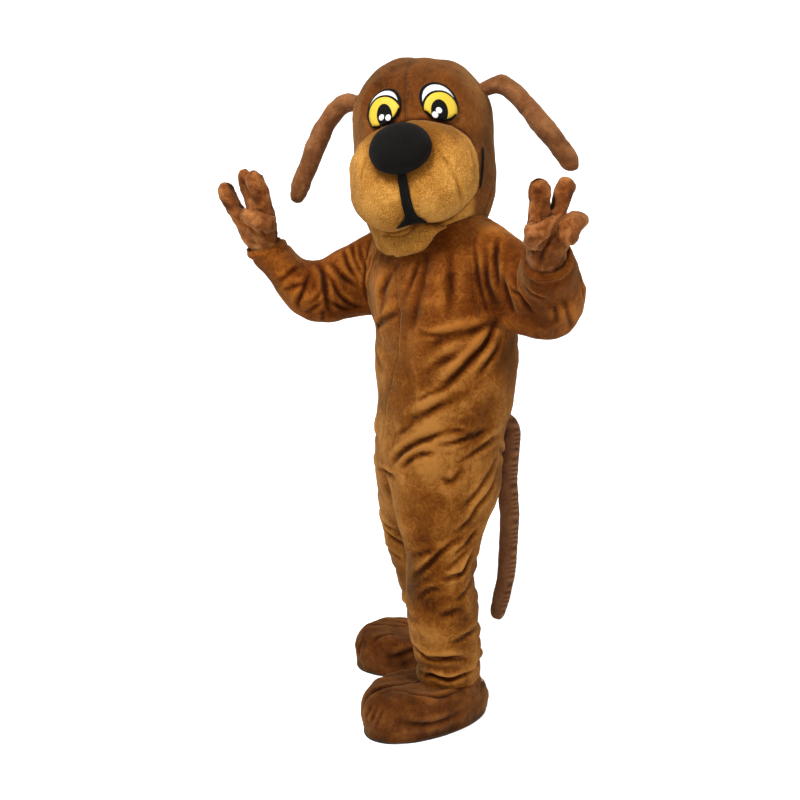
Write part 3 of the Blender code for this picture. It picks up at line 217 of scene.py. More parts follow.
BLACK = plain("black_cloth", (0.0045, 0.0038, 0.0030), 0.9, 0.5, scale=1400.0, sheen=0.02, shine=0.12)
WHITE = plain("white_cloth", (0.86, 0.86, 0.83), 0.6, 0.15, scale=1800.0)
YELLOW = plain("yellow_cloth", (0.74, 0.50, 0.022), 0.6, 0.15, scale=1800.0)
RED = plain("red_tape", (0.42, 0.02, 0.02), 0.8, 0.3)
RUBBER = plain("sole_rubber", (0.030, 0.026, 0.023), 0.75, 0.3, scale=300.0, shine=0.2)
print("finishes:", len(bpy.data.materials))

# %% [markdown]
# ## Cutting the cloth out of the solids
# A solid panel is a closed wall, with an outer side, an inner side and a narrow rim. It could be refined
# as it is, but then each seam would split open where a fold crosses it. So only the outer side is taken,
# its panels are welded along their seams, and one fold can run across a seam as it does on a sewn
# garment. The welded skin is refined by a Subdivision Surface, creased, and cut back into its panels.
# Each panel gets its thickness again from a Solidify modifier, inwards.

# %% The outer side of a wall
THICK = 9 * MM  # no cloth here is thicker, and behind a face of its rim there is always more
SHARP = 1.35  # an edge that turns by more than this, in radians, parts two sides of a wall
ANY = math.tau  # no edge turns by so much


def paired(bm, bend):
    """Joins the triangles of a solid into quads where they bend by less than this many degrees."""
    bmesh.ops.join_triangles(
        bm, faces=bm.faces, angle_face_threshold=math.radians(bend), angle_shape_threshold=math.radians(60)
    )


def neighbours(faces):
    """The faces that share an edge with any of these."""
    return {other for face in faces for edge in face.edges for other in edge.link_faces}


def region_from(free, most_turn=ANY):
    """Takes one face out of the free ones, with all that are joined to it over edges that turn less."""
    region, waiting = set(), [free.pop()]
    while waiting:
        one = waiting.pop()
        region.add(one)
        joined = {face for face in neighbours([one]) & free if one.normal.angle(face.normal, 0) < most_turn}
        free -= joined
        waiting += joined
    return region


def outer_side(name):
    """The outer side of one wall, as a bmesh of quads where the triangles pair up."""
    bm = bmesh.new()
    bm.from_mesh(nodes[name].data)
    bmesh.ops.remove_doubles(bm, verts=bm.verts, dist=1e-5)
    bm.normal_update()
    bm.faces.ensure_lookup_table()
    tree = BVHTree.FromBMesh(bm)
    rim = set()
    for face in bm.faces:
        behind = tree.ray_cast(face.calc_center_median() - face.normal * 1e-4, -face.normal, 0.2)[3]
        if behind is None or behind > THICK:
            rim.add(face)
    free, sides = set(bm.faces) - rim, []
    while free:
        sides.append(region_from(free, SHARP))
    outer = max(sides, key=lambda faces: sum(face.calc_area() for face in faces))
    while rim:  # steep faces inside a fold look like a rim, but only the outer side surrounds them
        group = region_from(rim)
        if neighbours(group) - group <= outer:
            outer |= group
    bmesh.ops.delete(bm, geom=list(set(bm.faces) - outer), context="FACES")
    paired(bm, 50)
    return bm


# %% One fine skin from several panels
def mesh_object(name, bm, *finishes):
    """A new object from a bmesh, which it frees."""
    data = bpy.data.meshes.new(name)
    bm.to_mesh(data)
    bm.free()
    for finish in finishes:
        data.materials.append(finish)
    data.shade_smooth()
    made = bpy.data.objects.new(name, data)
    bpy.context.scene.collection.objects.link(made)
    return made


def add_to(whole, part):
    """Moves all of one bmesh into another."""
    data = bpy.data.meshes.new("part")
    part.to_mesh(data)
    part.free()
    whole.from_mesh(data)
    bpy.data.meshes.remove(data)


def refined(bm, levels):
    """The same surface after this many rounds of subdivision."""
    obj = mesh_object("refining", bm)
    smooth = obj.modifiers.new("smooth", "SUBSURF")
    smooth.levels = smooth.render_levels = levels
    smooth.boundary_smooth = "PRESERVE_CORNERS"
    fine = bmesh.new()
    fine.from_object(obj, bpy.context.evaluated_depsgraph_get())
    data = obj.data
    bpy.data.objects.remove(obj)
    bpy.data.meshes.remove(data)
    return fine


def sewn(names, levels):
    """The outer sides of these panels in one fine surface. A face's material index tells its panel."""
    whole = bmesh.new()
    for index, name in enumerate(names):
        part = outer_side(name)
        for face in part.faces:
            face.material_index = index
        add_to(whole, part)
    bmesh.ops.remove_doubles(whole, verts=whole.verts, dist=0.6 * MM)
    fine = refined(whole, levels)
    print(f"{names[0]} and {len(names) - 1} more: {len(fine.verts)} points")
    return fine


# %% Reading and moving points
def points_and_normals(bm):
    """Two arrays, with a row for each point."""
    bm.normal_update()
    points = np.array([vert.co for vert in bm.verts])
    normals = np.array([vert.normal for vert in bm.verts])
    return points, normals


def put_points(bm, points, **marks):
    """Moves the points and stores marks on them, such as how deep in a crease each lies."""
    layers = {name: bm.verts.layers.float.new(name) for name in marks}
    for index, (vert, point) in enumerate(zip(bm.verts, points)):
        vert.co = point
        for name, layer in layers.items():
            vert[layer] = marks[name][index]
    bm.normal_update()


def step(value, start, end):
    """0 before start, 1 after end and a soft rise between."""
    share = np.clip((value - start) / (end - start), 0.0, 1.0)
    return share * share * (3 - 2 * share)


def bell(far, half_width):
    """1 at no distance and a soft fall to 0 at about twice this half width."""
    return np.exp(-((far / half_width) ** 2))


def eased(bm, values):
    """Values on the points, each brought half way to the mean of its neighbours."""
    bm.verts.index_update()
    a, b = np.array([[vert.index for vert in edge.verts] for edge in bm.edges]).T
    size = len(values)
    count = np.maximum(np.bincount(a, minlength=size) + np.bincount(b, minlength=size), 1)
    total = np.bincount(a, values[b], size) + np.bincount(b, values[a], size)
    return 0.5 * values + 0.5 * total / count


def tree_of(names):
    """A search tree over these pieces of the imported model."""
    target = bmesh.new()
    for name in names:
        target.from_mesh(nodes[name].data)
    tree = BVHTree.FromBMesh(target)
    target.free()
    return tree


def distance_to(points, *names, reach=0.06):
    """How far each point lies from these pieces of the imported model, but no more than reach."""
    tree = tree_of(names)
    return np.array([tree.find_nearest(Vector(point), reach)[3] or reach for point in points])


def seam_distance(bm, reach=0.03):
    """How far each point lies from the nearest seam between two panels, but no more than reach."""
    inner = [edge for edge in bm.edges if len(edge.link_faces) == 2]
    seam = [edge for edge in inner if len({face.material_index for face in edge.link_faces}) == 2]
    tree = KDTree(2 * len(seam))
    for k, vert in enumerate(vert for edge in seam for vert in edge.verts):
        tree.insert(vert.co, k)
    tree.balance()
    return np.array([min(reach, tree.find(vert.co)[2]) for vert in bm.verts])


# %% [markdown]
# ## Folds
# A fold in loose plush is a soft trough with a ridge pushed up beside it. A cloth simulation could find
# folds, but slowly, and seldom the wanted ones. So each is listed: how deep, how wide, how high
# its ridge is, and the few points that it runs through. Folds fade at both ends. Between them cloth is
# never quite smooth, so shallow dents of several sizes are added from a noise that is the same each run.

# %% Folds along lines
def line_distance(points, line):
    """How far each point lies from a bent line, its place along it from 0 to 1, and the spot nearest it."""
    ways = np.diff(line, axis=0)
    lengths = np.linalg.norm(ways, axis=1)
    ways /= lengths[:, None]
    along = np.clip(((points[:, None] - line[:-1]) * ways).sum(2), 0, lengths)
    spots = line[:-1] + along[..., None] * ways
    far = np.linalg.norm(points[:, None] - spots, axis=2)
    nearest = np.arange(len(points)), far.argmin(1)
    ends = np.concatenate([[0], np.cumsum(lengths)])
    return far[nearest], (ends[nearest[1]] + along[nearest]) / ends[-1], spots[nearest]


def rounded(line):
    """The same line with its corners cut twice."""
    for _ in range(2):
        cut = [line[0]]
        for a, b in zip(line, line[1:]):
            cut += [a * 0.75 + b * 0.25, a * 0.25 + b * 0.75]
        line = cut + [line[-1]]
    return line


PAST_END = 0.4  # a fold dies away this share of its end step past its last point
FADE = 0.40  # the share of a fold's length over which it rises from each end


def pressed(surface, points, folds, wider=1.0, deepest=0.009):
    """How far each point moves outwards when these folds are pressed in, and its painted shade in a
    trough or painted highlight on a ridge.

    A fold is its depth, its half width and its ridge, then the points that it runs through, all in
    millimetres. The points are first brought onto the surface. The cloth above a fold sags over it, so
    its upper ridge is the fuller.
    """
    push, crease = np.zeros(len(points)), np.zeros(len(points))
    for number, (depth, width, ridge, *line) in enumerate(folds):
        line = [np.array(spot, float) / 1000 for spot in line]
        first = (1 + PAST_END) * line[0] - PAST_END * line[1]
        last = (1 + PAST_END) * line[-1] - PAST_END * line[-2]
        line = rounded([first, *line, last])
        line = np.array([surface.find_nearest(Vector(spot))[0] for spot in line])
        width = width * wider / 1000
        low, high = line.min(0) - 4 * width, line.max(0) + 4 * width
        near = np.flatnonzero(((points > low) & (points < high)).all(1))
        if not len(near):
            continue
        far, place, foot = line_distance(points[near], line)
        uneven = 1 + 0.22 * np.sin(place * 9.0 + number * 2.1)  # no fold keeps one depth
        fade = step(np.minimum(place, 1 - place), 0.0, FADE) * uneven
        above = 1 + 0.45 * np.tanh((points[near, 2] - foot[:, 2]) / width)
        trough = bell(far, width * (0.8 + 0.2 * uneven))
        crest = above * bell(far - 2.1 * width, 1.25 * width)
        push[near] += fade * (ridge * crest - depth * trough) / 1000
        # painted highlight along each ridge and painted shade in each trough
        crease[near] += fade * (0.75 * crest * ridge - 1.2 * bell(far, 0.88 * width) * depth) / 9
    push = np.where(push < 0, -deepest * np.tanh(-push / deepest), push)
    return push, np.clip(crease, -1.6, 1.0)


def dents(points, sizes, seed):
    """Soft uneven dents. sizes are pairs of a width and a depth in millimetres."""
    push = np.zeros(len(points))
    for width, depth in sizes:
        shift = Vector((seed * 7.3 + width, seed * 3.1, seed * 1.7))
        scale = 1000 / width
        push += [depth / 1000 * noise.noise(Vector(p) * scale + shift) for p in points]
    return push


def creased(bm, points, folds, sizes, seed, bump_shading, seam=None, **how):
    """How far each point of a skin moves outwards, and the painted shade and light that go with it.

    The number after the seed is how much painted light falls where the cloth stands out, and painted shade
    where it dips. seam is the half width and the depth of the groove along the seams, in millimetres, and
    how much darker it is.
    """
    push, crease = pressed(BVHTree.FromBMesh(bm), points, folds, **how)
    uneven = dents(points, sizes, seed)
    # painted light where the cloth stands out and painted shade in its dents
    push, crease = push + uneven, crease + bump_shading * uneven
    if seam:
        half_width, depth, darker = seam
        sunk = bell(seam_distance(bm), half_width * MM)
        push, crease = push - depth * MM * sunk, crease - darker * sunk
    return push, crease


# %% Finished pieces
def piece(name, bm, finishes, solid=None):
    """A finished piece on the one body, in place of its solid if it has one."""
    obj = mesh_object(name, bm, *finishes)
    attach(obj, "root")
    if solid:
        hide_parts(solid)
    area = sum(face.area for face in obj.data.polygons)
    print(f"{name}: {len(obj.data.polygons)} faces, {area:.4f} m2")
    return obj


def with_thickness(obj, thickness):
    """Gives a piece of cloth its thickness, inwards."""
    wall = obj.modifiers.new("thickness", "SOLIDIFY")
    wall.thickness, wall.offset = thickness, -1.0


def panels(bm, names, finish, thickness):
    """Cuts a skin back into one piece for each panel."""
    for index, name in enumerate(names):
        part = bm.copy()
        drop = [face for face in part.faces if face.material_index != index]
        bmesh.ops.delete(part, geom=drop, context="FACES")
        for face in part.faces:
            face.material_index = 0
        with_thickness(piece(f"{name}_cloth", part, [finish], name), thickness)
    bm.free()


def fringe(name, bm, finish, seed, long=5.5 * MM):
    """Pile that stands out past a raw or turned edge: two rows of small blades along each open rim."""
    rng = np.random.default_rng(seed)
    blades = bmesh.new()
    for edge in bm.edges:
        if len(edge.link_faces) != 1:
            continue
        a, b = edge.verts
        face = edge.link_faces[0]
        way = (b.co - a.co).normalized()
        out = way.cross(face.normal)
        if out.dot(a.co + b.co - 2 * face.calc_center_median()) < 0:
            out = -out
        for _ in range(2 * max(1, round((b.co - a.co).length / (1.1 * MM)))):
            start = a.co.lerp(b.co, rng.random()) - out * MM
            lean = (out + face.normal * rng.uniform(-0.2, 0.9) + way * rng.uniform(-0.7, 0.7)).normalized()
            half = way * 0.5 * MM
            tip = start + lean * long * rng.uniform(0.5, 1.1)
            blades.faces.new([blades.verts.new(spot) for spot in (start - half, start + half, tip)])
    return piece(name, blades, [finish])


# %% [markdown]
# ## The suit
# The suit is loose, so it hangs from the shoulders and the tops of the hips. Its main creases are the
# long one that runs down from under each arm, the sag of the belly over the legs, the stack behind and
# above each knee and the one where the leg ends on the shoe. The sleeves are bent, so they crumple
# towards the inside of each elbow. The creases on the back and on the wearer's right leg could be left
# out, as the solids bend there too, but cloth that is held alike folds alike, so they are laid alike.

# %% Creases of the front
CHEST = [
    (9, 8, 4, (-108, -103, -274), (-34, -137, -238), (10, -145, -218)),
    (5, 9, 3, (11, -137, -86), (-46, -136, -151), (-81, -127, -194)),
    (5, 7, 3, (73, -135, -85), (52, -143, -146), (33, -146, -179)),
    (9, 7, 4, (252, -29, -26), (263, -52, -82), (274, -52, -140)),
    (6, 6, 4, (237, -52, -52), (242, -61, -128), (258, -54, -172), (272, -47, -195)),
    (6, 6, 3, (81, -144, -272), (124, -137, -275), (171, -120, -267), (196, -101, -256)),
    (11, 9, 8, (262, -35, -226), (239, -44, -287), (204, -96, -352), (155, -139, -419)),
    (6, 7, 4, (256, -13, -272), (250, -20, -310), (235, -71, -370)),
    (6, 9, 4, (194, -105, -317), (151, -136, -344), (112, -150, -374)),
    (5, 6, 3, (102, -159, -445), (154, -139, -414)),
    (4, 6, 3, (119, -157, -481), (157, -141, -456)),
    (5, 6, 3, (-120, -110, -50), (-160, -85, -85), (-175, -68, -123)),
    (4, 5, 3, (-95, -120, -60), (-140, -100, -105), (-165, -80, -150)),
    (5, 7, 4, (-160, -80, -215), (-120, -110, -245), (-85, -125, -300)),
    (4, 9, 3, (-150, -85, -330), (-100, -125, -375), (-50, -150, -395)),
    (4.5, 11, 3, (100, -140, -70), (87, -150, -160), (62, -155, -250)),
    (4, 12, 3, (-30, -135, -90), (-48, -135, -170), (-72, -130, -260)),
    (4.5, 11, 3, (160, -115, -60), (172, -120, -150), (163, -125, -230)),
    (8, 10, 6, (262, -40, -235), (225, -80, -262), (175, -115, -272), (120, -140, -300)),
    (6, 11, 5, (215, -80, -420), (160, -130, -455), (95, -158, -500), (30, -165, -520)),
]
BELLY = [
    (6, 6, 3, (13, -165, -556), (48, -166, -540), (76, -162, -519)),
    (13, 8, 8, (1, -160, -640), (41, -163, -603), (84, -158, -572), (128, -147, -550), (173, -130, -527)),
    (8, 6, 4, (112, -149, -561), (146, -140, -565), (178, -123, -563), (208, -96, -549), (229, -58, -539),
     (240, -20, -530)),
    (5, 6, 3, (173, -130, -527), (196, -112, -526), (216, -86, -536), (228, -66, -529)),
    (11, 7, 6, (46, -164, -642), (75, -165, -614), (102, -158, -597), (140, -144, -593)),
    (7, 6, 4, (-78, -125, -684), (-19, -155, -679), (20, -164, -681)),
    (6, 7, 4, (236, 30, -555), (235, -20, -564), (212, -79, -599), (185, -110, -625)),
    (6, 7, 4, (228, 15, -628), (217, -38, -691), (198, -80, -742)),
    (5, 7, 4, (220, 41, -664), (222, -7, -717), (205, -60, -770)),
    (6, 9, 4, (154, -135, -662), (178, -112, -677), (197, -94, -640)),
    (5, 8, 4, (-170, -40, -560), (-130, -90, -590), (-90, -120, -600)),
    (6, 8, 4, (-185, 20, -640), (-160, -40, -680), (-120, -85, -700)),
]
LEG = [
    (10, 6, 6, (63, -153, -968), (117, -152, -924), (148, -125, -878), (171, -101, -852), (192, -70, -832)),
    (8, 6, 4, (172, -101, -890), (186, -74, -868), (201, -36, -833)),
    (6, 6, 3, (160, -130, -932), (179, -96, -907), (192, -55, -874)),
    (11, 6, 6, (153, -138, -960), (173, -119, -946), (189, -78, -945), (191, -53, -910), (193, -33, -880)),
    (4, 6, 3, (71, -155, -897), (116, -151, -878), (147, -124, -867)),
    (5, 7, 4, (215, -35, -735), (201, -61, -789), (179, -98, -828)),
    (8, 6, 4, (99, -161, -1012), (120, -155, -990), (146, -143, -978), (173, -119, -975)),
    (8, 6, 4, (185, -100, -1015), (195, -70, -999), (191, -34, -975)),
    (9, 7, 5, (169, -111, -1146), (188, -81, -1141), (196, -45, -1127), (187, -1, -1124)),
    (5, 9, 4, (150, -135, -1065), (177, -114, -1050), (193, -80, -1041)),
    (5, 9, 4, (20, -120, -1075), (60, -145, -1090), (100, -150, -1085)),
    (13, 7, 8, (30, -120, -1190), (62, -134, -1181), (89, -138, -1190), (115, -134, -1201),
     (149, -122, -1194), (179, -92, -1192), (193, -49, -1212)),
    (11, 6, 7, (60, -115, -1262), (91, -119, -1270), (113, -113, -1256), (137, -107, -1262),
     (162, -92, -1269), (180, -59, -1260), (184, -13, -1254)),
]
print("creases of the front:", len(CHEST) + len(BELLY) + len(LEG))

# %% Creases of the sleeves
ARMS = [
    (6, 6, 3, (-330, -278, -150), (-315, -270, -137), (-296, -237, -109)),
    (5, 6, 3, (-330, -262, -176), (-305, -253, -162), (-276, -222, -151)),
    (8, 6, 4, (-313, -209, -231), (-306, -227, -207), (-280, -226, -171), (-280, -198, -116)),
    (6, 6, 4, (-276, -207, -209), (-256, -191, -192), (-252, -187, -172)),
    (5, 6, 3, (-310, -200, -240), (-276, -196, -224), (-250, -181, -201)),
    (12, 7, 7, (-286, -161, -98), (-251, -171, -139), (-244, -175, -186), (-251, -150, -240)),
    (7, 6, 5, (-266, -164, -111), (-235, -154, -150), (-228, -139, -188), (-220, -98, -219),
     (-199, -61, -229)),
    (6, 6, 4, (-258, -136, -95), (-226, -131, -131), (-210, -99, -155), (-194, -74, -175)),
    (7, 6, 5, (-248, -92, -56), (-221, -112, -94), (-206, -91, -140), (-190, -70, -170)),
    (6, 6, 4, (-225, -80, -45), (-209, -95, -83), (-193, -75, -132)),
    (5, 6, 4, (-205, -65, -40), (-199, -80, -66), (-183, -68, -118)),
    (6, 6, 4, (-239, -160, -201), (-233, -126, -226), (-221, -89, -234)),
    (8, 6, 3, (-277, -157, -262), (-259, -169, -237)),
    (5, 5, 2, (-168, -58, -26), (-183, -68, -95), (-189, -70, -161), (-190, -58, -220)),
    (7, 8, 5, (-225, 75, -90), (-265, 40, -130), (-300, -10, -190)),
    (7, 8, 5, (-200, 80, -160), (-250, 50, -200), (-300, -20, -240)),
    (6, 7, 4, (-395, -100, -170), (-375, -90, -200), (-340, -80, -235)),
    (6, 7, 4, (-430, -190, -110), (-420, -160, -150), (-390, -140, -190)),
    (5, 7, 4, (-360, -60, -110), (-320, -10, -90), (-270, 40, -70)),
    (6, 6, 4, (380, -97, -140), (400, -100, -150), (418, -96, -156), (436, -79, -168)),
    (6, 6, 4, (440, -50, -175), (437, -28, -201), (422, -4, -229)),
    (6, 6, 4, (464, -46, -168), (447, 12, -211), (426, 68, -250)),
    (5, 6, 4, (315, -56, -146), (334, -61, -157), (353, -65, -166)),
    (7, 7, 5, (290, -45, -120), (300, -50, -170), (315, -35, -215)),
    (6, 7, 4, (330, -60, -110), (345, -65, -150), (370, -45, -200)),
    (7, 8, 5, (245, 100, -80), (300, 105, -130), (350, 110, -200)),
    (7, 8, 5, (230, 105, -150), (290, 115, -190), (345, 100, -245)),
    (6, 7, 4, (440, 80, -130), (425, 100, -180), (400, 105, -220)),
    (5, 7, 4, (490, 10, -90), (475, 40, -140), (450, 75, -180)),
    (5, 5, 2, (190, -45, -20), (212, -60, -95), (225, -60, -160), (240, -40, -215)),
]
print("creases of the sleeves:", len(ARMS))

# %% Creases of the back
BACK = [
    (7, 10, 5, (-165, 110, -60), (-120, 150, -120), (-60, 165, -190)),
    (7, 10, 5, (190, 110, -70), (140, 150, -130), (80, 170, -200)),
    (6, 10, 4, (-100, 160, -290), (-20, 185, -320), (60, 190, -315)),
    (9, 9, 6, (-150, 140, -400), (-60, 180, -425), (30, 205, -420), (120, 190, -395)),
    (6, 9, 4, (50, 195, -350), (130, 180, -340), (200, 120, -320)),
    (6, 9, 4, (-190, 60, -460), (-130, 140, -480), (-60, 185, -475)),
    (8, 9, 5, (225, 40, -600), (190, 120, -640), (130, 160, -665)),
    (8, 9, 5, (-170, 110, -640), (-110, 170, -680), (-50, 200, -690)),
    (7, 9, 4, (40, 120, -700), (90, 130, -740), (150, 100, -760)),
    (7, 9, 4, (-30, 160, -720), (-80, 200, -760), (-140, 180, -780)),
    (9, 8, 6, (195, -30, -930), (160, 30, -915), (100, 60, -890), (40, 50, -860)),
    (8, 8, 5, (190, 0, -980), (140, 50, -960), (70, 55, -950)),
    (7, 8, 5, (185, 0, -1060), (130, 55, -1045), (60, 50, -1060)),
    (9, 8, 6, (190, -10, -1180), (150, 50, -1165), (90, 70, -1175), (30, 40, -1190)),
    (8, 7, 6, (180, 0, -1245), (130, 60, -1240), (60, 55, -1250)),
]
BACK_OF_LEG = 10  # from this fold on, they lie on the back of the leg
print("creases of the back:", len(BACK))

# %% The same creases on the other leg
HEIGHTS = (-1270, -1100, -900, -700)
LEFT_MIDDLE = ((100, 100, 100, 90), (-25, -50, -55, -30))  # x and y of a leg's middle at these heights
RIGHT_MIDDLE = ((-130, -125, -110, -90), (220, 155, 105, 80))


def other_leg(folds):
    """The creases mirrored across the middle of each leg, which is bent and turned its own way."""
    made = []
    for depth, width, ridge, *line in folds:
        moved = []
        for x, y, z in line:
            here = [np.interp(z, HEIGHTS, row) for row in LEFT_MIDDLE]
            there = [np.interp(z, HEIGHTS, row) for row in RIGHT_MIDDLE]
            moved.append((there[0] - (x - here[0]), there[1] + (y - here[1]), z))
        made.append((depth * 0.9, width * 1.1, ridge, *moved))
    return made


RIGHT_LEG = other_leg(LEG + BACK[BACK_OF_LEG:])
print("creases of the right leg:", len(RIGHT_LEG))

# %% [markdown]
# ### Hems
# A sleeve's end is folded in and stitched, so it ends in a soft roll that closes round the glove. A ring
# could be laid there, but the cloth would still end in a cut edge behind it. So the last rows of the cloth
# are drawn in, and pushed out and in again along their normals to make the roll.

# %% A hem drawn in
HEM_REACH = 45 * MM  # how far up from a rim its cloth is drawn in
HEM_MOST = 13 * MM  # it moves no farther than this
HEM_GAP = 6 * MM  # and stays this far from what it closes round


def drawn_in(bm, points, normals, onto):
    """Shifts that draw an open rim in towards what it closes round, and make its hem a soft roll."""
    tree = tree_of(onto)
    rim = {vert.index for edge in bm.edges if len(edge.link_faces) == 1 for vert in edge.verts}
    rim = [k for k in rim if tree.find_nearest(Vector(points[k]), 0.05)[0] is not None]
    near = KDTree(len(rim))
    for k in rim:
        near.insert(Vector(points[k]), k)
    near.balance()
    shift = np.zeros_like(points)
    low, high = points[rim].min(0) - HEM_REACH, points[rim].max(0) + HEM_REACH
    for k in np.flatnonzero(((points > low) & (points < high)).all(1)):
        far = near.find(Vector(points[k]))[2]
        spot = tree.find_nearest(Vector(points[k]), 0.08)[0]
        if far > HEM_REACH or spot is None:
            continue
        away = np.array(spot) - points[k]
        size = float(np.linalg.norm(away))
        pull = min(max(size - HEM_GAP, 0.0), HEM_MOST) * (1 - far / HEM_REACH) ** 2
        roll = 4.5 * MM * bell(far - 11 * MM, 8 * MM) - 3.5 * MM * bell(far - 29 * MM, 6 * MM)
        shift[k] = away / max(size, 1e-6) * pull + normals[k] * roll
    return shift


# %% The suit's cloth
SUIT = [f"{panel}_{side}" for panel in ("suit_front", "suit_back", "sleeve") for side in SIDES]
suit = sewn(SUIT, 3)
points, normals = points_and_normals(suit)
push, crease = creased(
    suit, points, CHEST + BELLY + LEG + ARMS + BACK + RIGHT_LEG, ((120, 8), (60, 4.5), (26, 1.8)), 1, 45,
    seam=(6, 1.5, 0.06), wider=1.08, deepest=10.5 * MM,
)
push = eased(suit, push)
for side in SIDES:
    points += drawn_in(suit, points, normals, [f"glove_back_{side}", f"glove_palm_{side}"])
across, _, height = points.T
arm = np.maximum(step(across, 0.20, 0.36), step(-across, 0.16, 0.30)) * (height > -0.32)
# painted shadow of the head: the chest takes in the darker, redder plush, lifted a little
head_shadow_on_chest = step(height, -0.46, -0.16) * (1 - arm)
crease += 0.06 * head_shadow_on_chest
crease += 0.2 * step(-across, 0.0, 0.08) * (height < -0.5)  # painted light: the wearer's right leg is made paler
crease += 0.12 * np.cos((height + 0.66) * 7.0) * (height < -0.44)  # and each thigh is paler than its shin
put_points(suit, points + normals * push[:, None], crease=crease, golden=arm + 0.75 * head_shadow_on_chest)
SUIT_FRINGE = fringe("suit_fringe", suit, BROWN, 21)
panels(suit, SUIT, BROWN, 4 * MM)

# %% [markdown]
# ## The head
# The head is cloth drawn over a carved foam shell, so it is smooth and nearly free of creases. One seam
# runs over its crown and down to the nose. The pile is brushed back from the face, and where the crown
# faces up it is darkened with painted shade. The lower jaw could be a piece of its own, but no seam parts
# it from the cheeks, so the lighter plush is a change of colour that each point carries.

# %% The face's own frame
# A point on the face is a step to its left and a step up, seen from a place inside the head.
FACE_PLACE = Vector((-0.08312, 0.12769, 0.14102))
FACE_LEFT = Vector((0.87435, 0.46490, 0.13917))
FACE_FRONT = Vector((0.46947, -0.88295, 0.0))
FACE_UP = Vector((-0.12288, -0.06534, 0.99027))
FACE_REACH = 0.345
EYES = ("eye_left", "eye_right")
JOWLS = ("muzzle_left", "muzzle_right")


def along(points, way):
    """How far each point lies along a direction."""
    return np.asarray(points) @ np.array(way)


def on_face(points):
    """Steps across and up of each point, and how far in front it lies."""
    away = points - np.array(FACE_PLACE)
    front = along(away, FACE_FRONT)
    safe = np.where(np.abs(front) < 1e-4, 1e-4, front)
    return FACE_REACH * along(away, FACE_LEFT) / safe, FACE_REACH * along(away, FACE_UP) / safe, front


def lower_jaw(points):
    """How much of the lighter plush each point has: all of it on the lower jaw, none towards the ears."""
    across, up, front = on_face(points)
    return step(-up, 0.07, 0.12) * step(0.22 - np.abs(across + 0.01), 0.0, 0.04) * (front > 0.05)


# %% Creases and cloth of the head
HEAD = ["head_left", "head_right"]
FACE_CREASES = [
    (3, 5, 1.5, (176, 48, 104), (165, 40, 70), (149, 32, 38)),
    (2.5, 7, 1.5, (120, 17, 387), (139, 46, 351), (149, 69, 301)),
    (2.5, 7, 1.5, (-140, -30, 380), (-165, -20, 330), (-175, 0, 270)),
    (3, 6, 2, (90, 170, 120), (30, 190, 100), (-50, 180, 110)),
]
head = sewn(HEAD, 3)
points, normals = points_and_normals(head)
push, crease = creased(
    head, points, FACE_CREASES, ((80, 2.8), (35, 1.8), (12, 0.5)), 2, 90, seam=(4.5, 1.5, 0.3)
)
flat = distance_to(points, *EYES, "mouth_corner_left", "mouth_corner_right") < 20 * MM
push = np.where(flat, np.minimum(push, -0.8 * MM), push)  # the flat pieces lie on smooth cloth
side = along(points - points.mean(0), FACE_LEFT)
fuller = 12 * MM * step(-side, -0.03, 0.05) + 9 * MM * step(side, 0.06, 0.12)
fuller *= step(points[:, 2], 0.22, 0.35) * step(distance_to(points, *EYES), 0.0, 0.04)
push += fuller  # the crown is squarer than its solid
crease -= 2.2 * bell(distance_to(points, *JOWLS), 7 * MM)  # painted shade on the head along the jowls' edge
crease -= 0.45 * step(normals[:, 2], 0.1, 0.8) * (points[:, 2] > 0.2)  # painted shade: the crown is darker where it faces up
put_points(head, points + normals * push[:, None], crease=crease, golden=lower_jaw(points))
HEAD_SURFACE = BVHTree.FromBMesh(head)
HEAD_FRINGE = fringe("head_fringe", head, HEAD_BROWN, 22)
panels(head, HEAD, HEAD_BROWN, 4 * MM)

# %% [markdown]
# ## Gloves
# Each glove is a mitten with two standing fingers, two folded ones and a thumb, sewn from a back and a
# palm and lightly stuffed. The seam runs round every finger, and the cloth crumples at each joint. Fingers
# could be modelled anew, but the solids have them, so only crumples are added, closer than on the suit.

# %% Creases and cloth of the gloves
HANDS = {
    "left": [
        (5, 5, 3, (504, -137, -2), (494, -154, -20), (471, -155, -51), (453, -140, -73)),
        (3, 5, 2, (504, -137, -2), (525, -145, -10), (545, -140, -15)),
        (3, 4, 2, (478, -200, -15), (490, -210, -8), (510, -205, -3)),
        (3, 5, 2, (405, -135, -62), (426, -143, -52), (461, -162, -44)),
        (3, 4, 2, (482, -160, 37), (491, -140, 39), (502, -128, 44)),
    ],
    "right": [
        (3, 5, 3, (-378, -312, -59), (-350, -300, -64), (-323, -275, -61)),
        (3, 5, 2, (-396, -315, 63), (-375, -318, 55), (-345, -300, 44)),
        (3, 5, 3, (-393, -330, 8), (-369, -321, -9), (-358, -306, -25)),
        (3, 4, 2, (-438, -314, 135), (-420, -320, 130), (-405, -315, 130)),
    ],
}
FOLDED_FINGER = np.array([0.554, -0.150, 0.006])  # its tip on the left glove
FINGER_REACH = 48 * MM
TO_PALM = np.array([-0.0105, -0.0115, 0.0])  # the tip is shifted so, and lies close over the palm
GLOVE_FRINGES = {}
for number, side in enumerate(SIDES):
    names = [f"glove_back_{side}", f"glove_palm_{side}", f"glove_thumb_{side}"]
    glove = sewn(names, 2)
    points, normals = points_and_normals(glove)
    if side == "left":
        away = points - FOLDED_FINGER
        near = bell(np.linalg.norm(away, axis=1) ** 2, FINGER_REACH**2)
        put_points(glove, points + near[:, None] * (TO_PALM + 0.06 * away))
        points, normals = points_and_normals(glove)
    push, crease = creased(
        glove, points, HANDS[side], ((34, 3.6), (17, 3.2), (8, 1.1)), 3 + number, 170, seam=(3, 1.2, 0.4)
    )
    put_points(glove, points + normals * push[:, None], crease=crease)
    GLOVE_FRINGES[side] = fringe(f"glove_fringe_{side}", glove, GLOVE_BROWN, 23 + number, long=4 * MM)
    panels(glove, names, GLOVE_BROWN, 3 * MM)

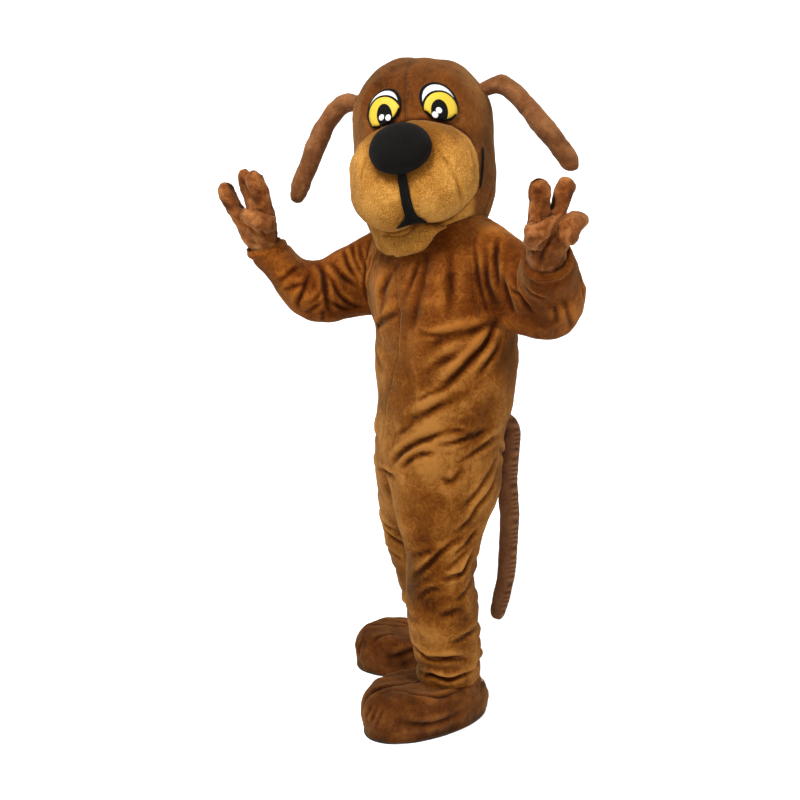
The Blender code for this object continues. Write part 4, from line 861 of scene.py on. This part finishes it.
# %% [markdown]
# ## Shoes
# A shoe cover is a big soft boot of the same plush, padded at the toe, over a rubber sole. Its top edge
# disappears in the leg. The cloth is gathered where the toe turns down, and lasted: drawn down over the
# sole's upper edge and held there. Moving the lowest rows of the cloth is all that this takes.

# %% Creases and cloth of the shoes
FEET = {
    "left": [
        (4, 5, 3, (74, -280, -1313), (69, -290, -1335), (61, -294, -1361)),
        (4, 5, 3, (58, -287, -1314), (52, -296, -1336), (44, -297, -1357)),
        (4, 5, 3, (35, -287, -1310), (32, -296, -1332), (26, -298, -1352)),
        (5, 7, 4, (7, -274, -1298), (14, -252, -1289), (34, -202, -1289)),
        (6, 7, 5, (67, -201, -1290), (124, -179, -1294), (165, -140, -1301), (179, -66, -1304)),
        (5, 8, 3, (107, -266, -1340), (149, -208, -1364), (181, -136, -1367), (199, -67, -1353)),
        (4, 8, 3, (-10, -150, -1300), (-40, -190, -1320), (-50, -230, -1350)),
        (5, 7, 4, (190, 20, -1330), (170, 70, -1320), (120, 95, -1325)),
    ],
    "right": [
        (5, 6, 3, (-230, -4, -1301), (-214, 18, -1290), (-197, 56, -1292)),
        (5, 7, 4, (-260, 140, -1293), (-243, 157, -1298), (-200, 165, -1290)),
        (4, 5, 3, (-290, 0, -1320), (-300, -5, -1340), (-300, 0, -1365)),
        (4, 5, 3, (-270, -10, -1315), (-280, -15, -1340), (-280, -12, -1365)),
        (5, 8, 4, (-90, 80, -1310), (-120, 20, -1330), (-160, -10, -1350)),
        (5, 7, 4, (-100, 300, -1320), (-60, 290, -1325), (-30, 250, -1330)),
    ],
}
for number, side in enumerate(SIDES):
    names = [f"shoe_inner_{side}", f"shoe_outer_{side}"]
    shoe = sewn(names, 3)
    points, normals = points_and_normals(shoe)
    push, crease = creased(
        shoe, points, FEET[side], ((60, 3.4), (26, 2.6), (11, 0.9)), 5 + number, 110, seam=(5, 2.5, 0.4)
    )
    lasted = step(-points[:, 2], 1.385, 1.408)
    points += normals * (push + 2.5 * MM * lasted)[:, None]
    points[:, 2] -= 4.5 * MM * lasted
    # painted shade on the lowest rows, where the cloth turns under towards the sole
    put_points(shoe, points, crease=crease - 0.5 * lasted)
    panels(shoe, names, SHOE_BROWN, 4 * MM)

# %% [markdown]
# ## Stuffed pieces
# Tail, ears, jowls, chin and nose are closed bags of cloth filled with fibre. A bag bulges between its
# seams and is drawn in along them. Here nothing has to be cut out: the whole solid is refined, dented and
# creased, and a rule of its own gives each piece what sets it apart.

# %% A piece from its whole solid
def whole_piece(name, finish, levels, sizes, seed, folds=(), rule=None):
    """A piece made from its solid, which is refined, creased and dented.

    Its rule gives more shifts and creases.
    """
    bm = bmesh.new()
    bm.from_mesh(nodes[name].data)
    bmesh.ops.remove_doubles(bm, verts=bm.verts, dist=1e-5)
    paired(bm, 40)
    fine = refined(bm, levels)
    points, normals = points_and_normals(fine)
    push, crease = creased(fine, points, folds, sizes, seed, 90)
    # a rule's second value darkens or lightens the piece, mostly with painted shade and light
    shift, darker = rule(points, normals) if rule else (0.0, 0.0)
    put_points(fine, points + normals * push[:, None] + shift, crease=crease + darker)
    obj = piece(f"{name}_soft", fine, [finish], name)


# %% The tail, gathered in small even puckers along its seam
SEAM_WAY = (0.93, 0.36, 0.0)  # the seam runs down the tail's outer side
PUCKER = 18.5 * MM  # from one gather to the next


def puckers(points, normals):
    """Small gathers across the tail's seam."""
    turned_away = 1 - along(normals, SEAM_WAY)
    near = bell(turned_away, 0.42)
    groove = bell(turned_away, 0.012)
    wave = np.cos(2 * np.pi * (points[:, 2] / PUCKER + 0.4 * np.sin(points[:, 2] * 61.0)))
    out = (3.0 + 0.4 * near * wave - 1.6 * groove) * MM
    # painted light on each gather's crest and painted shade between them; the seam's groove is darker too
    return normals * out[:, None], near * (0.55 * wave - 0.1) - 0.8 * groove


whole_piece("tail", TAIL_BROWN, 4, ((40, 2), (14, 0.8)), 7, rule=puckers)

# %% The jowls
JOWL_CREASES = {
    "left": [
        (3.5, 6, 2, (183, -190, 195), (206, -170, 159), (219, -154, 111), (208, -123, 62)),
        (2, 7, 1, (171, -148, 258), (205, -110, 222), (219, -85, 174), (226, -101, 112)),
    ],
    "right": [
        (3, 6, 1.5, (30, -290, 194), (3, -274, 162), (1, -280, 112)),
        (2.5, 7, 1.5, (-83, -192, 213), (-70, -220, 170), (-62, -235, 130)),
    ],
}


def darker_jowl_top_and_shade(points, normals):
    """Darker over the top of the jowls, with painted shade round the nose and on their lowest part, over the
    chin.
    """
    _, up, _ = on_face(points)
    nose = bell(distance_to(points, "nose"), 26 * MM)
    return 0.0, -0.85 * step(up, 0.050, 0.115) - nose - 0.5 * step(-up, 0.11, 0.15)


for side, folds in JOWL_CREASES.items():
    sizes = (60, 2.5), (25, 1.4), (9, 0.7)
    whole_piece(f"muzzle_{side}", TAN, 3, sizes, 9, folds, darker_jowl_top_and_shade)


# %% Ears, chin and nose
EAR_REACH = 50 * MM  # an ear is drawn to the head this far out
EAR_SUNK, EAR_MOST = 4 * MM, 20 * MM  # how deep its base goes in, and the most that it moves
CHIN_HANG = np.array(FACE_LEFT) * 0.046 - np.array(FACE_UP) * 0.013  # the shift of the chin's lowest part


def to_head(points, normals):
    """An ear's base is drawn to the head, where it is sewn in and gathered."""
    moved, darker = np.zeros_like(points), np.zeros(len(points))
    for k, point in enumerate(points):
        spot, _, _, far = HEAD_SURFACE.find_nearest(Vector(point), EAR_REACH)
        if spot is None:
            continue
        pull = (1 - far / EAR_REACH) ** 2
        moved[k] = (np.array(spot) - point) / max(far, 1e-6) * min(far + EAR_SUNK, EAR_MOST) * pull
        # painted shade at the ear's base, where it meets the head
        darker[k] = -0.6 * pull**3
    return moved, darker


def scaled(across, up, front):
    """A rule that stretches a piece of the face about its middle by these shares."""

    def rule(points, normals):
        away = points - (points.max(0) + points.min(0)) / 2
        shift = np.zeros_like(points)
        for way, share in ((FACE_LEFT, across), (FACE_UP, up), (FACE_FRONT, front)):
            shift += along(away, way)[:, None] * np.array(way) * share
        return shift, 0.0

    return rule


def under_jowls(points, normals):
    """The chin is wider than its solid, hangs to the wearer's left, and is painted with shade where the jowls
    lie on it.
    """
    shift, _ = scaled(0.32, 0.05, 0.0)(points, normals)
    low = step(-points[:, 2], -points[:, 2].max(), -points[:, 2].min())
    low *= 1 - 0.9 * step(along(points - points.mean(0), FACE_LEFT), 0.01, 0.11)
    return shift + low[:, None] * CHIN_HANG, -2.2 * bell(distance_to(points, *JOWLS), 8 * MM)


for side in SIDES:
    whole_piece(f"ear_{side}", EAR_BROWN, 3, ((45, 4.0), (18, 2.0)), 8, rule=to_head)
whole_piece("chin", TAN, 3, ((40, 1.5), (10, 0.5)), 10, rule=under_jowls)
whole_piece("nose", BLACK, 3, ((40, 0.8),), 11, rule=scaled(0.10, 0.05, 0.02))

# %% [markdown]
# ## Eyes, mouth and small flat pieces
# The eyes are flat pieces of smooth cloth laid on each other and stitched to the head: black with the
# white above, a black ring, the yellow of the eye, a tall black pupil and two white spots. The jowls
# cover the lowest part of each. The mouth is a strip of black felt with a small triangle at its foot. An
# image could be laid on the eye, but real layers have edges that catch the light, so each is an oval laid
# on the plate by rays.

# %% Flat pieces
def up_to_nose(points, normals):
    """The felt strip runs on under the nose, and its foot spreads between the jowls."""
    left, up, front = np.array(FACE_LEFT), np.array(FACE_UP), np.array(FACE_FRONT)
    height = points[:, 2]
    rise = step(height, height.max() - 0.022, height.max())[:, None]
    foot = step(-height, -height.min() - 0.020, -height.min())[:, None]
    across = along(points - points.mean(0), left)[:, None]
    spread = left * across * 0.18 - up * 0.006 + front * 0.002
    return rise * (up * 0.018 + front * 0.006) + foot * spread, 0.0


def plate(across, up, lift=2.6 * MM):
    """An eye's plate, stretched a little and lifted until it lies on the pile."""

    def rule(points, normals):
        shift, _ = scaled(across, up, 0.0)(points, normals)
        ahead = normals[along(normals, FACE_FRONT) > 0.3].mean(0)
        return shift + ahead / np.linalg.norm(ahead) * lift, 0.0

    return rule


for name, finish, slot, levels, rough, rule in (
    ("mouth_stripe", BLACK, "black_cloth", 2, 0.5, up_to_nose),
    ("mouth_corner_left", BLACK, "black_cloth", 2, 0.5, None),
    ("mouth_corner_right", BLACK, "black_cloth", 2, 0.5, None),
    ("eye_left", BLACK, "eye_cloth", 2, 0.0, plate(0.05, 0.05)),
    ("eye_right", BLACK, "eye_cloth", 2, 0.0, plate(0.17, 0.04)),
    ("heel_tab", RED, "red_tab", 2, 0.5, None),
    ("sole_left", RUBBER, "sole_rubber", 1, 0.0, None),
    ("sole_right", RUBBER, "sole_rubber", 1, 0.0, None),
):
    whole_piece(name, finish, levels, ((7, rough),), 12, rule=rule)


# %% A profile spun round
def turned(profile, steps):
    """A bmesh of a profile spun round the vertical axis, facing up. Its points are a radius and a height."""
    bm = bmesh.new()
    line = [bm.verts.new((radius, 0.0, height)) for radius, height in profile]
    line += [bm.edges.new(pair) for pair in zip(line, line[1:])]
    bmesh.ops.spin(
        bm, geom=line, cent=(0, 0, 0), axis=(0, 0, 1), dvec=(0, 0, 0), angle=2 * math.pi, steps=steps,
        use_merge=True,
    )
    bmesh.ops.remove_doubles(bm, verts=bm.verts, dist=1e-5)
    bmesh.ops.recalc_face_normals(bm, faces=bm.faces)
    if sum(face.normal.z for face in bm.faces) < 0:
        bmesh.ops.reverse_faces(bm, faces=bm.faces)
    return bm


# %% The sewn layers of an eye
ROUND = 56  # points round a patch
DISC = [(share, 0.0) for share in (0.0, 0.3, 0.55, 0.8, 1.0)]


def looked_at(tree, spot):
    """Where a step across and up on the face meets this tree, and the way out of the face there."""
    ray = FACE_FRONT * FACE_REACH + FACE_LEFT * spot[0] + FACE_UP * spot[1]
    start = FACE_PLACE + ray * 1.6  # well in front of the face, looking back at it
    return tree.ray_cast(start, -ray.normalized(), 0.6)[0], ray.normalized()


def patch(tree, centre, wide, high, lift, inside):
    """One flat oval, laid on the plate and kept inside its rim. Its two half axes may lean."""
    centre, wide, high = (np.array(pair) / 1000 for pair in (centre, wide, high))
    reach = []
    for turn in 2 * np.pi * np.arange(ROUND) / ROUND:
        out = wide * math.cos(turn) + high * math.sin(turn)
        most = 1.0
        while most > 0.05 and looked_at(tree, centre + out * most)[0] is None:
            most -= 0.02
        if most < 1.0:
            most = max(most - inside * MM / np.linalg.norm(out), 0.05)
        reach.append(out * most)
    bm = turned(DISC, ROUND)
    for vert in bm.verts:
        turn = round(math.atan2(vert.co.y, vert.co.x) / (2 * math.pi) * ROUND)
        place, ray = looked_at(tree, centre + reach[turn % ROUND] * vert.co.length)
        vert.co = place + ray * lift * MM
    return bm


LAYERS = (WHITE, 0.8, 10), (BLACK, 1.6, 0), (YELLOW, 2.4, 5), (BLACK, 3.2, 1), (WHITE, 4, 1), (WHITE, 4, 1)
OVALS = {  # the centre and the two half axes of each layer, in millimetres on the face
    "right": [
        ((-56, 186), (47, 0), (0, 53.5)),
        ((-50.5, 164), (55.5, -11), (-4, 60)),
        ((-50.5, 163), (49, -9), (-4, 53)),
        ((-48.5, 158), (22.5, -3), (-2, 34)),
        ((-56.5, 154), (8, 0), (0, 8.2)),
        ((-37.5, 148), (8, 0), (0, 8.2)),
    ],
    "left": [
        ((104, 186), (48, 0), (0, 54.5)),
        ((106, 164), (54, 3), (4, 54)),
        ((106, 163), (48, 3), (4, 47)),
        ((99, 152), (23.5, 1), (2, 33)),
        ((97, 152), (8.5, 0), (0, 8.5)),
        ((85, 140), (8.5, 0), (0, 8.5)),
    ],
}
EYE_PATCHES, finishes = {}, [WHITE, BLACK, YELLOW]
for side, ovals in OVALS.items():
    eye = bmesh.new()
    eye.from_mesh(bpy.data.objects[f"eye_{side}_soft"].data)
    tree = BVHTree.FromBMesh(eye)
    eye.clear()
    for (finish, lift, inside), oval in zip(LAYERS, ovals):
        layer = patch(tree, *oval, lift, inside)
        for face in layer.faces:
            face.material_index = finishes.index(finish)
        add_to(eye, layer)
    EYE_PATCHES[side] = piece(f"eye_{side}_patches", eye, finishes)
    with_thickness(EYE_PATCHES[side], 0.5 * MM)

# %% [markdown]
# ## Light, backdrop and camera
# A white sweep curves up all round the costume, so that no horizon shows. A sheet of paper could be
# extruded, but a profile spun round the costume is there in every view. Cameras see it lit evenly, while
# the cloth is lit by the bright room, by one soft light high in front, and by a weaker, larger one on the
# wearer's left.

# %% Room and backdrop
scene = bpy.context.scene
world = bpy.data.worlds.new("studio")
scene.world = world
world.use_nodes = True
world.node_tree.nodes["Background"].inputs["Color"].default_value = (1.0, 1.0, 1.0, 1.0)
world.node_tree.nodes["Background"].inputs["Strength"].default_value = 0.72
scene.view_settings.view_transform = "Standard"
scene.view_settings.look = "None"

white = (1.0, 1.0, 1.0, 1.0)
paper, paper_tree, paper_shader, _ = new_finish(
    "paper", Base_Color=(0.90, 0.90, 0.90, 1.0), Roughness=0.95, Specular_IOR_Level=0.0, Emission_Color=white
)
seen = node(paper_tree, "ShaderNodeLightPath").outputs["Is Camera Ray"]
glow = node(paper_tree, "ShaderNodeMath", {0: seen, 1: 0.72}, operation="MULTIPLY").outputs[0]
paper_tree.links.new(glow, paper_shader.inputs["Emission Strength"])

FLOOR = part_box("sole_left")[0].z - 0.5 * MM
FLAT, CURVE, TOP = 4.5, 2.0, 7.0  # the flat floor's radius, the curve's radius and the wall's height
sweep = [(radius, FLOOR) for radius in (0.0, 1.5, 3.0, FLAT)]
for turn in np.linspace(0.1, math.pi / 2, 14):
    sweep.append((FLAT + CURVE * math.sin(turn), FLOOR + CURVE * (1 - math.cos(turn))))
sweep.append((FLAT + CURVE, FLOOR + TOP))
floor = mesh_object("floor", turned(sweep, 64), paper)
print("floor at:", round(FLOOR, 4))


# %% Lights and camera
def soft_light(name, place, size, power):
    """A round soft light, turned to the costume's middle."""
    data = bpy.data.lights.new(name, "AREA")
    data.shape, data.size, data.energy = "DISK", size, power
    lamp = bpy.data.objects.new(name, data)
    lamp.location = place
    lamp.rotation_mode = "QUATERNION"
    lamp.rotation_quaternion = (Vector((0.0, 0.0, -0.45)) - Vector(place)).to_track_quat("-Z", "Y")
    scene.collection.objects.link(lamp)


soft_light("key", (0.45, -2.3, 2.5), 0.8, 105.0)
soft_light("fill", (3.0, 0.2, 0.6), 2.0, 14.0)

camera_data = bpy.data.cameras.new("camera")
camera = bpy.data.objects.new("camera", camera_data)
camera_data.sensor_width = 36.0
camera_data.lens = 42.03
camera.location = (1.7034, -2.0300, 0.030)
camera.rotation_mode = "QUATERNION"
camera.rotation_quaternion = Vector((-0.65479, 0.73133, -0.19081)).to_track_quat("-Z", "Y")
scene.collection.objects.link(camera)
scene.camera = camera
print("lights:", len(bpy.data.lights))

# %% [markdown]
# ## The cut of the cloth
# Every piece was cut flat before it was sewn, and each line below states the rectangle it was cut from and
# the area of the cut. A panel of the suit runs from shoulder to ankle; a sleeve is one piece, folded round
# the arm. Cloth hardly stretches, so what each piece measures now has to come close to its cut. The pile
# along an edge and the layers of an eye go with the piece that carries them.

# %% What each piece was cut from
CUTS = {name: ("hung", 0.44, 1.46, 0.440, []) for name in SUIT[:4]}
for side in SIDES:
    CUTS[f"sleeve_{side}"] = ("hung", 0.54, 0.54, 0.220, [f"suit_front_{side}", f"suit_back_{side}"])
CUTS |= {name: ("stretched", 0.62, 0.62, 0.275, []) for name in HEAD}
CUTS["mouth_stripe"] = ("laid", 0.066, 0.150, 0.0047, ["muzzle_left", "muzzle_right"])
CUTS["heel_tab"] = ("folded", 0.028, 0.022, 0.0006, ["shoe_outer_left"])
for side in SIDES:
    CUTS |= {
        f"glove_back_{side}": ("stretched", 0.27, 0.44, 0.092, []),
        f"glove_palm_{side}": ("stretched", 0.20, 0.36, 0.050, []),
        f"glove_thumb_{side}": ("stretched", 0.12, 0.16, 0.0155, []),
        f"shoe_inner_{side}": ("stretched", 0.30, 0.46, 0.102, [f"sole_{side}"]),
        f"shoe_outer_{side}": ("stretched", 0.30, 0.46, 0.102, [f"sole_{side}"]),
        f"eye_{side}": ("laid", 0.105, 0.108, 0.0087, ["head_left", "head_right"]),
        f"mouth_corner_{side}": ("laid", 0.012, 0.115, 0.0010, [f"head_{side}"]),
    }
CARRIED = {"suit_front_left": [SUIT_FRINGE], "head_left": [HEAD_FRINGE]}
for side in SIDES:
    CARRIED |= {f"glove_back_{side}": [GLOVE_FRINGES[side]], f"eye_{side}": [EYE_PATCHES[side]]}
print("pieces of cloth declared:", len(CUTS))
